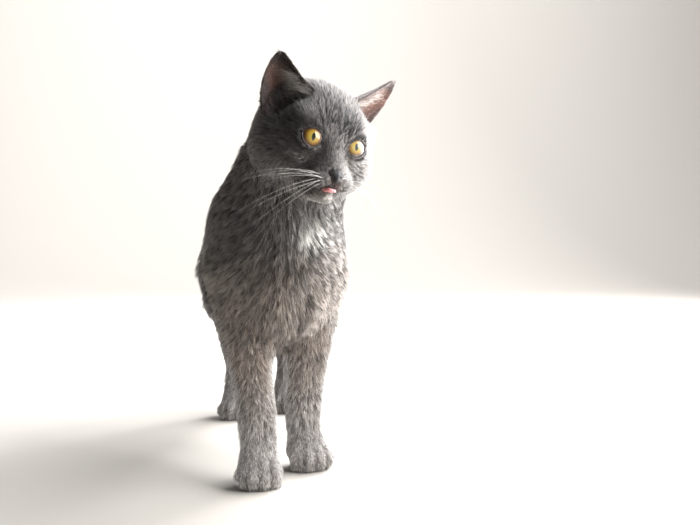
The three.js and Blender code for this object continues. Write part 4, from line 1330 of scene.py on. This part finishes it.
def eyeball(title, side):
    bpy.ops.object.select_all(action="DESELECT")
    bpy.ops.mesh.primitive_uv_sphere_add(segments=64, ring_count=48, radius=EYE_RADIUS)
    ball = bpy.context.object
    ball.name = ball.data.name = title
    local = places(ball)
    off_axis = np.linalg.norm(local[:, :2], axis=1) / EYE_RADIUS
    bulge = np.clip(1 - (off_axis / CORNEA_REACH) ** 2, 0, 1) ** 1.5 * (local[:, 2] > 0)
    local = local + unit(local) * (bulge * CORNEA_BULGE)[:, None]
    move_to(ball, from_head(ball_middle(side) + local @ gaze_axes(side)))
    ball.data.uv_layers.active.name = GAZE_MAP
    loops = np.empty(len(ball.data.loops), np.int32)
    ball.data.loops.foreach_get("vertex_index", loops)
    front = np.where(local[:, 2:] > 0, 1, 3)
    flat = 0.5 + local[:, :2] * front / EYE_RADIUS / 2
    ball.data.uv_layers.active.data.foreach_set("uv", flat[loops].ravel())
    only(ball)
    bpy.ops.object.shade_smooth()
    return ball


SIDES = {-1: "right", 1: "left"}
eyes = {side: eyeball("eyeball_" + name, side) for side, name in SIDES.items()}
print("eyeballs of", round(2 * EYE_RADIUS / MM), "mm")

# %% [markdown]
# ## Lid rims
# The hairless edge of the lids is a thin dark roll that lies wet against the ball. It is a tube
# bent along the lids' outline, and it runs a little way into the corner by the nose.


# %% Tubes
def tube(title, paths, thickness, closed=False, sides=3):
    """One mesh of round tubes. Each path has a place and a share of the thickness for each point."""
    curve = bpy.data.curves.new(title, "CURVE")
    curve.dimensions = "3D"
    curve.bevel_depth = thickness / 2
    curve.bevel_resolution = sides
    curve.use_fill_caps = True
    for path in paths:
        spline = curve.splines.new("POLY")
        spline.points.add(len(path) - 1)
        for point, (place, share) in zip(spline.points, path):
            point.co = (*place, 1)
            point.radius = share
        spline.use_cyclic_u = closed
    piece = bpy.data.objects.new(title, curve)
    bpy.context.collection.objects.link(piece)
    only(piece)
    bpy.ops.object.convert(target="MESH")
    piece = bpy.context.object
    piece.name = piece.data.name = title
    bpy.ops.object.mode_set(mode="EDIT")
    bpy.ops.mesh.select_all(action="SELECT")
    bpy.ops.mesh.remove_doubles(threshold=0.001 * MM)
    bpy.ops.mesh.normals_make_consistent(inside=False)
    bpy.ops.object.mode_set(mode="OBJECT")
    bpy.ops.object.shade_smooth()
    return piece


# %% Rims of the lids
RIM_THICKNESS = 1.4 * MM
RIM_LIFT = 0.6 * MM


def rim_path(side):
    path = []
    for angle in np.linspace(0, 2 * math.pi, 96, endpoint=False):
        reach = float(lid_reach(angle)) + 0.1 * MM
        ball = EYE_RADIUS + RIM_LIFT
        out = math.sqrt(max(ball**2 - reach**2, (2 * MM) ** 2))
        place = np.array([math.cos(angle) * reach, math.sin(angle) * reach, out]) @ eye_axes(side)
        thick = 1.0 - 0.2 * math.sin(angle) - 0.35 * math.cos(angle)
        path.append((from_head(ball_middle(side) + place), thick))
    return path


rims = {
    side: tube("lid_rim_" + name, [rim_path(side)], RIM_THICKNESS, closed=True)
    for side, name in SIDES.items()
}
print("rims of", round(RIM_THICKNESS / MM, 1), "mm")

# %% [markdown]
# ## Nose leather and tongue
# Both keep the shape of their solids. The solid is remeshed into fine squares and eased, and the
# nostrils, the groove between them and the groove of the tongue are pressed in.


# %% Fine copies of the small solids
FINE_SQUARE = 0.4 * MM


def eased_copy(title, solid, rounds):
    twin = bpy.data.objects.new(title, frame["nodes"][solid].data.copy())
    bpy.context.collection.objects.link(twin)
    twin.data.materials.clear()
    apply_modifier(twin, "REMESH", mode="VOXEL", voxel_size=FINE_SQUARE)
    mean_here = mean_of_neighbours(twin)
    rows_here = places(twin)
    for _ in range(rounds):
        rows_here = rows_here + 0.5 * (mean_here(rows_here) - rows_here)
        rows_here = rows_here - 0.51 * (mean_here(rows_here) - rows_here)
    move_to(twin, rows_here)
    only(twin)
    bpy.ops.object.shade_smooth()
    return twin


def line_of(start, end, count=14):
    return [tuple(row) for row in np.linspace(start, end, count)]


# %% Nose and tongue
NOSE_SWELL = 0.7 * MM
TONGUE_FLAT, TONGUE_DEEP = 0.22, 8 * MM
nose = eased_copy("nose_leather", "nose", 12)
move_to(nose, places(nose) + normals(nose) * NOSE_SWELL)
for side in (-1, 1):
    nostril = line_of((2.6 * side, -61.5, -26), (4.6 * side, -59.5, -26.2), 6)
    dab(nose, nostril, 1.2, -2.2)
    dab(nose, line_of((4.6 * side, -60, -26), (6.4 * side, -57, -24.5), 8), 0.7, -1.0)
dab(nose, line_of((0, -62.5, -24.5), (0, -61, -30)), 0.55, -0.8)
tongue = eased_copy("tongue_tip", "tongue", 14)
dab(tongue, line_of((-1.9, -64.5, -35.6), (-1.6, -56, -34)), 1.0, -0.5)
rows = to_head(places(tongue))
top = rows[:, 2].max()
rows[:, 2] -= TONGUE_FLAT * (rows[:, 2] - rows[:, 2].min()) * fade(rows[:, 2], top - TONGUE_DEEP, top)
move_to(tongue, from_head(rows))
print("nose and tongue:", len(nose.data.vertices), "and", len(tongue.data.vertices), "points")

# %% [markdown]
# ## Claws
# A standing cat keeps its claws drawn in, and only their points show among the hair of the toes.

# %% Claws
CLAW_THICKNESS = 1.2 * MM
CLAW_STEPS = 7
paths = []
for paw in PAWS:
    for across, ahead in TOES:
        path = []
        for step in np.linspace(0, 1, CLAW_STEPS):
            spot_at = (across * 1.02, ahead - 7 - 4.5 * step, 6.4 - 1.2 * step - 2.6 * step**2)
            path.append((from_paw(paw, spot_at), 1 - 0.88 * step**1.3))
        paths.append(path)
claws = tube("claws", paths, CLAW_THICKNESS)
print("claws:", len(paths))

# %% [markdown]
# ## Fur
# Fur is keratin with a thin oily film: rough from far off, with a faint sheen at the edges
# where light skims the tips. Its colour is painted on the points, dark at the root as painted
# shade and pale at the tip as painted light, and a fine noise breaks it up.


# %% Nodes
def node(tree, kind, settings=None, stops=(), **links):
    """Adds a shader node. Links are values, or nodes or their outputs, named by input or its number."""
    made = tree.nodes.new(kind)
    for name, value in (settings or {}).items():
        setattr(made, name, value)
    for _ in stops[2:]:
        made.color_ramp.elements.new(0.5)
    for mark, (at, colour) in zip(made.color_ramp.elements if stops else (), stops):
        mark.position = at
        mark.color = (*linear(colour), 1)
    for name, value in links.items():
        socket = made.inputs[int(name[1:])] if name[1:].isdigit() else made.inputs[name.replace("_", " ")]
        if isinstance(value, bpy.types.Node):
            value = value.outputs[0]
        if isinstance(value, bpy.types.NodeSocket):
            tree.links.new(value, socket)
        else:
            socket.default_value = value
    return made


# %% Fur and skin
def material(title, **surface):
    """A material with one Principled shader, and the constant values set on its own sockets."""
    made = bpy.data.materials.new(title)
    made.use_nodes = True
    shader = made.node_tree.nodes["Principled BSDF"]
    for name, value in surface.items():
        shader.inputs[name.replace("_", " ")].default_value = value
    return made, made.node_tree, shader


def fur_material(title, noise_mm, bump):
    made, tree, shader = material(
        title, Roughness=0.62, IOR=1.55, Sheen_Weight=0.25, Sheen_Roughness=0.45
    )
    shader.inputs["Specular IOR Level"].default_value = 0.3
    painted = node(tree, "ShaderNodeAttribute", {"attribute_name": "coat_colour"})
    place = node(tree, "ShaderNodeTexCoord")
    at = place.outputs["Object"]
    grain = node(tree, "ShaderNodeTexNoise", Vector=at, Scale=1 / (noise_mm * MM), Detail=3.0)
    level = node(tree, "ShaderNodeMapRange", Value=grain.outputs["Fac"], To_Min=0.8, To_Max=1.2)
    scaled = node(
        tree, "ShaderNodeVectorMath", {"operation": "SCALE"}, _0=painted.outputs["Color"], Scale=level
    )
    tree.links.new(scaled.outputs["Vector"], shader.inputs["Base Color"])
    if bump:
        relief = node(tree, "ShaderNodeBump", Height=grain.outputs["Fac"], Strength=0.6, Distance=bump * MM)
        tree.links.new(relief.outputs["Normal"], shader.inputs["Normal"])
    return made


fur = fur_material("short plush cat fur", 1.3, 0)
hide = fur_material("cat skin under short fur", 0.7, 0.4)
skin.data.materials.append(hide)
for piece in coats:
    piece.data.materials.append(fur)
print("fur on", len(coats), "pieces")

# %% [markdown]
# ## Eyes, wet rims, leather and horn
# The iris is amber, browner at its rim, with fibres that are noise stretched along the radius.
# Its wet shine is a clear coat. Nose leather is pebbled like a fingerprint, the tongue is rough
# with small points, and horn and whiskers are pale, the horn under a faint clear coat.


# %% Iris and cornea
IRIS_RADIUS = 8.9 * MM
IRIS_DISH = 75  # height over the square of the radius: the iris is a flat dish behind the cornea
PUPIL_WIDE, PUPIL_HIGH = 1.55 * MM, 3.5 * MM
PUPIL_BLACK = (0.003, 0.003, 0.004, 1)
IRIS_STOPS = (
    (0.1, "#7a7628"), (0.3, "#a89134"), (0.55, "#a07c26"),
    (0.74, "#754e17"), (0.88, "#39240e"), (1.0, "#140c07"),
)
# The sums that the iris is drawn with: result, operation, and two numbers or earlier results.
IRIS_SUMS = (
    ("off x", "SUBTRACT", "x", 0.5), ("x", "MULTIPLY", "off x", 2 * EYE_RADIUS),
    ("off y", "SUBTRACT", "y", 0.5), ("y", "MULTIPLY", "off y", 2 * EYE_RADIUS),
    ("x squared", "MULTIPLY", "x", "x"), ("y squared", "MULTIPLY", "y", "y"),
    ("squared", "ADD", "x squared", "y squared"), ("radius", "SQRT", "squared", 0.5),
    ("ring", "DIVIDE", "radius", IRIS_RADIUS), ("turn", "ARCTAN2", "y", "x"),
    ("cosine", "COSINE", "turn", 0.5), ("sine", "SINE", "turn", 0.5),
    ("outwards", "MULTIPLY", "ring", 0.35),
)
FIBRE_SUMS = (
    ("uneven", "SUBTRACT", "fibres", 0.5), ("strength", "MULTIPLY", "uneven", 0.42),
    ("shifted", "ADD", "ring", "strength"), ("dish", "MULTIPLY", "squared", IRIS_DISH),
    ("wide part", "DIVIDE", "x", PUPIL_WIDE), ("wide part", "ABSOLUTE", "wide part", 0.5),
    ("wide part", "POWER", "wide part", 1.6),
    ("high part", "DIVIDE", "y", PUPIL_HIGH), ("high part", "ABSOLUTE", "high part", 0.5),
    ("high part", "POWER", "high part", 2.0),
    ("slit", "ADD", "wide part", "high part"),
)
eye_glass, tree, shader = material(
    "amber iris under a wet cornea", Roughness=0.3, Coat_Weight=1.0, Coat_Roughness=0.02, Coat_IOR=1.55
)
own_map = node(tree, "ShaderNodeUVMap", {"uv_map": GAZE_MAP})
split = node(tree, "ShaderNodeSeparateXYZ", Vector=own_map)
drawn = {"x": split.outputs["X"], "y": split.outputs["Y"]}


def work_out(sums):
    for result, operation, *on in sums:
        first, second = (drawn[value] if isinstance(value, str) else value for value in on)
        drawn[result] = node(tree, "ShaderNodeMath", {"operation": operation}, _0=first, _1=second)


work_out(IRIS_SUMS)
around = node(tree, "ShaderNodeCombineXYZ", X=drawn["cosine"], Y=drawn["sine"], Z=drawn["outwards"])
fibres = node(tree, "ShaderNodeTexNoise", Vector=around, Scale=11.0, Detail=4.0)
drawn["fibres"] = fibres.outputs["Fac"]
work_out(FIBRE_SUMS)
iris = node(tree, "ShaderNodeValToRGB", stops=IRIS_STOPS, Fac=drawn["shifted"])
in_pupil = node(
    tree, "ShaderNodeMapRange", Value=drawn["slit"], From_Min=1.12, From_Max=0.9, To_Min=0.0, To_Max=1.0
)
dish = node(tree, "ShaderNodeBump", Height=drawn["dish"], Distance=1.0)
tree.links.new(dish.outputs["Normal"], shader.inputs["Normal"])
with_pupil = node(tree, "ShaderNodeMix", {"data_type": "RGBA"}, _0=in_pupil, _6=iris, _7=PUPIL_BLACK)
tree.links.new(with_pupil.outputs[2], shader.inputs["Base Color"])
for ball in eyes.values():
    ball.data.materials.append(eye_glass)
print("iris drawn with", len(tree.nodes), "nodes")


# %% Rims, leather, tongue, horn and bristle
def mottled(title, dark, light, grain_mm, relief_mm, kind="ShaderNodeTexNoise", **surface):
    """A material between two colours, broken up and roughened by one grain of a real size."""
    made, tree, shader = material(title, **surface)
    place = node(tree, "ShaderNodeTexCoord")
    grain = node(tree, kind, Vector=place.outputs["Object"], Scale=1 / (grain_mm * MM))
    value = grain.outputs["Fac"] if "Fac" in grain.outputs else grain.outputs["Distance"]
    colour = node(tree, "ShaderNodeValToRGB", stops=((0.25, dark), (0.75, light)), Fac=value)
    tree.links.new(colour.outputs["Color"], shader.inputs["Base Color"])
    relief = node(tree, "ShaderNodeBump", Height=value, Strength=0.7, Distance=relief_mm * MM)
    tree.links.new(relief.outputs["Normal"], shader.inputs["Normal"])
    return made


wet_rim = mottled(
    "wet dark lid rim", "#180c0b", "#33191a", 0.8, 0.08,
    Roughness=0.45, Coat_Weight=0.08, Coat_Roughness=0.2,
)
leather = mottled(
    "pebbled nose leather", "#161518", "#2a292d", 0.5, 0.1, "ShaderNodeTexVoronoi",
    Roughness=0.6, Coat_Weight=0.08, Coat_Roughness=0.3,
)
tongue_flesh = mottled(
    "wet tongue with small points", "#d9878c", "#efb4b3", 0.6, 0.06, "ShaderNodeTexVoronoi",
    Roughness=0.42, Subsurface_Weight=0.3, Subsurface_Scale=0.004, Coat_Weight=0.3, Coat_Roughness=0.2,
)
horn = mottled("pale claw horn", "#857a70", "#a89e93", 1.5, 0.03, Roughness=0.35, Coat_Weight=0.2)
bristle = fur_material("white whisker bristle", 4, 0)
for piece, finish in (
    (rims[-1], wet_rim), (rims[1], wet_rim), (nose, leather), (tongue, tongue_flesh),
    (claws, horn), (whiskers, bristle), (ear_hairs, bristle),
):
    piece.data.materials.append(finish)
print("materials:", sorted(material.name for material in bpy.data.materials if material.users))

# %% [markdown]
# ## Camera, light and floor
# A long lens stands at the height of the cat's face. A wide window is on the cat's left, and a
# second light behind it draws a bright rim along the coat. A small lamp gives the eyes their
# glint, and two weak ones low down reach the legs. The floor bends up into a wall far behind,
# which has a light of its own, so no edge shows.

# %% Camera
IMAGE_WIDTH = 700
FOCAL_PIXELS = 1035
SENSOR_MM = 36
CAMERA_AT = Vector(HEAD_MIDDLE) + Vector((-0.0958, -0.9157, -0.066))
CAMERA_AHEAD = Vector((0.1404, 0.9901, 0))
CAMERA_DIP = math.radians(2.63)

lens = bpy.data.cameras.new("camera")
lens.sensor_width = SENSOR_MM
lens.lens = FOCAL_PIXELS / IMAGE_WIDTH * SENSOR_MM
camera = bpy.data.objects.new("camera", lens)
bpy.context.collection.objects.link(camera)
camera.location = CAMERA_AT
gaze = CAMERA_AHEAD * math.cos(CAMERA_DIP) - Vector((0, 0, math.sin(CAMERA_DIP)))
camera.rotation_euler = gaze.to_track_quat("-Z", "Y").to_euler()
bpy.context.scene.camera = camera
print("lens", round(lens.lens, 2), "mm")


# %% Lights
def area_light(title, at, target, size, power, colour):
    light = bpy.data.lights.new(title, "AREA")
    light.shape = "RECTANGLE"
    light.size, light.size_y = size
    light.energy = power
    light.color = colour
    lamp = bpy.data.objects.new(title, light)
    bpy.context.collection.objects.link(lamp)
    lamp.location = at
    lamp.rotation_euler = (Vector(target) - Vector(at)).to_track_quat("-Z", "Y").to_euler()
    return lamp


area_light("window", (1.3, -0.05, 0.75), (0.05, -0.1, 0.3), (2.7, 1.7), 170, (1, 0.995, 0.98))
area_light("rim", (0.75, 1.1, 0.9), (0.05, -0.2, 0.26), (0.9, 0.9), 90, (1, 1, 1))
area_light("glint", (0.93, -1.03, 0.5), (0.014, -0.26, 0.302), (0.14, 0.22), 4, (1, 1, 1))
low = area_light("low fill", (-0.15, -1.25, 0.06), (0, -0.2, 0.03), (0.4, 0.08), 0.15, (1, 0.98, 0.96))
low.data.spread = math.radians(22)
area_light("low window", (0.8, 0.3, 0.14), (0, -0.15, 0.08), (0.9, 0.2), 9, (1, 1, 1))
area_light("wall", (0.2, 1.6, 2.6), (0.2, 3.5, 0.9), (3.2, 1.2), 180, (1, 1, 1))

world = bpy.data.worlds.new("pale room")
bpy.context.scene.world = world
world.use_nodes = True
sky = world.node_tree.nodes["Background"]
sky.inputs["Color"].default_value = (0.88, 0.87, 0.86, 1)
sky.inputs["Strength"].default_value = 0.04
bpy.context.scene.view_settings.view_transform = "Standard"

# %% Floor
bpy.ops.mesh.primitive_plane_add(size=1)
floor = bpy.context.object
floor.name = "floor"
FLOOR_WIDTH, FLOOR_DEPTH, WALL_HEIGHT, WALL_BEND = 9, 7, 5, 1.6
bpy.ops.object.mode_set(mode="EDIT")
bpy.ops.transform.resize(value=(FLOOR_WIDTH, FLOOR_DEPTH, 1))
bpy.ops.mesh.select_all(action="DESELECT")
bpy.ops.object.mode_set(mode="OBJECT")
for edge in floor.data.edges:
    edge.select = all(floor.data.vertices[v].co.y > 0 for v in edge.vertices)
bpy.ops.object.mode_set(mode="EDIT")
bpy.ops.mesh.select_mode(type="EDGE")
bpy.ops.mesh.extrude_region_move(TRANSFORM_OT_translate={"value": (0, 0, WALL_HEIGHT)})
bpy.ops.mesh.select_all(action="DESELECT")
bpy.ops.object.mode_set(mode="OBJECT")
for edge in floor.data.edges:
    ends = [floor.data.vertices[v].co for v in edge.vertices]
    edge.select = all(end.y > 0 and end.z < 0.01 for end in ends)
bpy.ops.object.mode_set(mode="EDIT")
bpy.ops.mesh.bevel(offset=WALL_BEND, segments=24)
bpy.ops.object.mode_set(mode="OBJECT")
bpy.ops.object.shade_smooth()
card, *_ = material("matt pale card", Base_Color=(*linear("#a8a49f"), 1), Roughness=0.9)
floor.data.materials.append(card)

# %% End
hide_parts(*FLESH)
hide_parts("nose")
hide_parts("tongue")
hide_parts("eye_right")
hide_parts("eye_left")
slots = {
    "coat": [skin, *coats, whiskers, ear_hairs, claws],
    "eye": list(eyes.values()),
    "nose": [nose, *rims.values()],
    "tongue": [tongue],
}
for slot, pieces_in_slot in slots.items():
    for piece in pieces_in_slot:
        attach(piece, BODY)
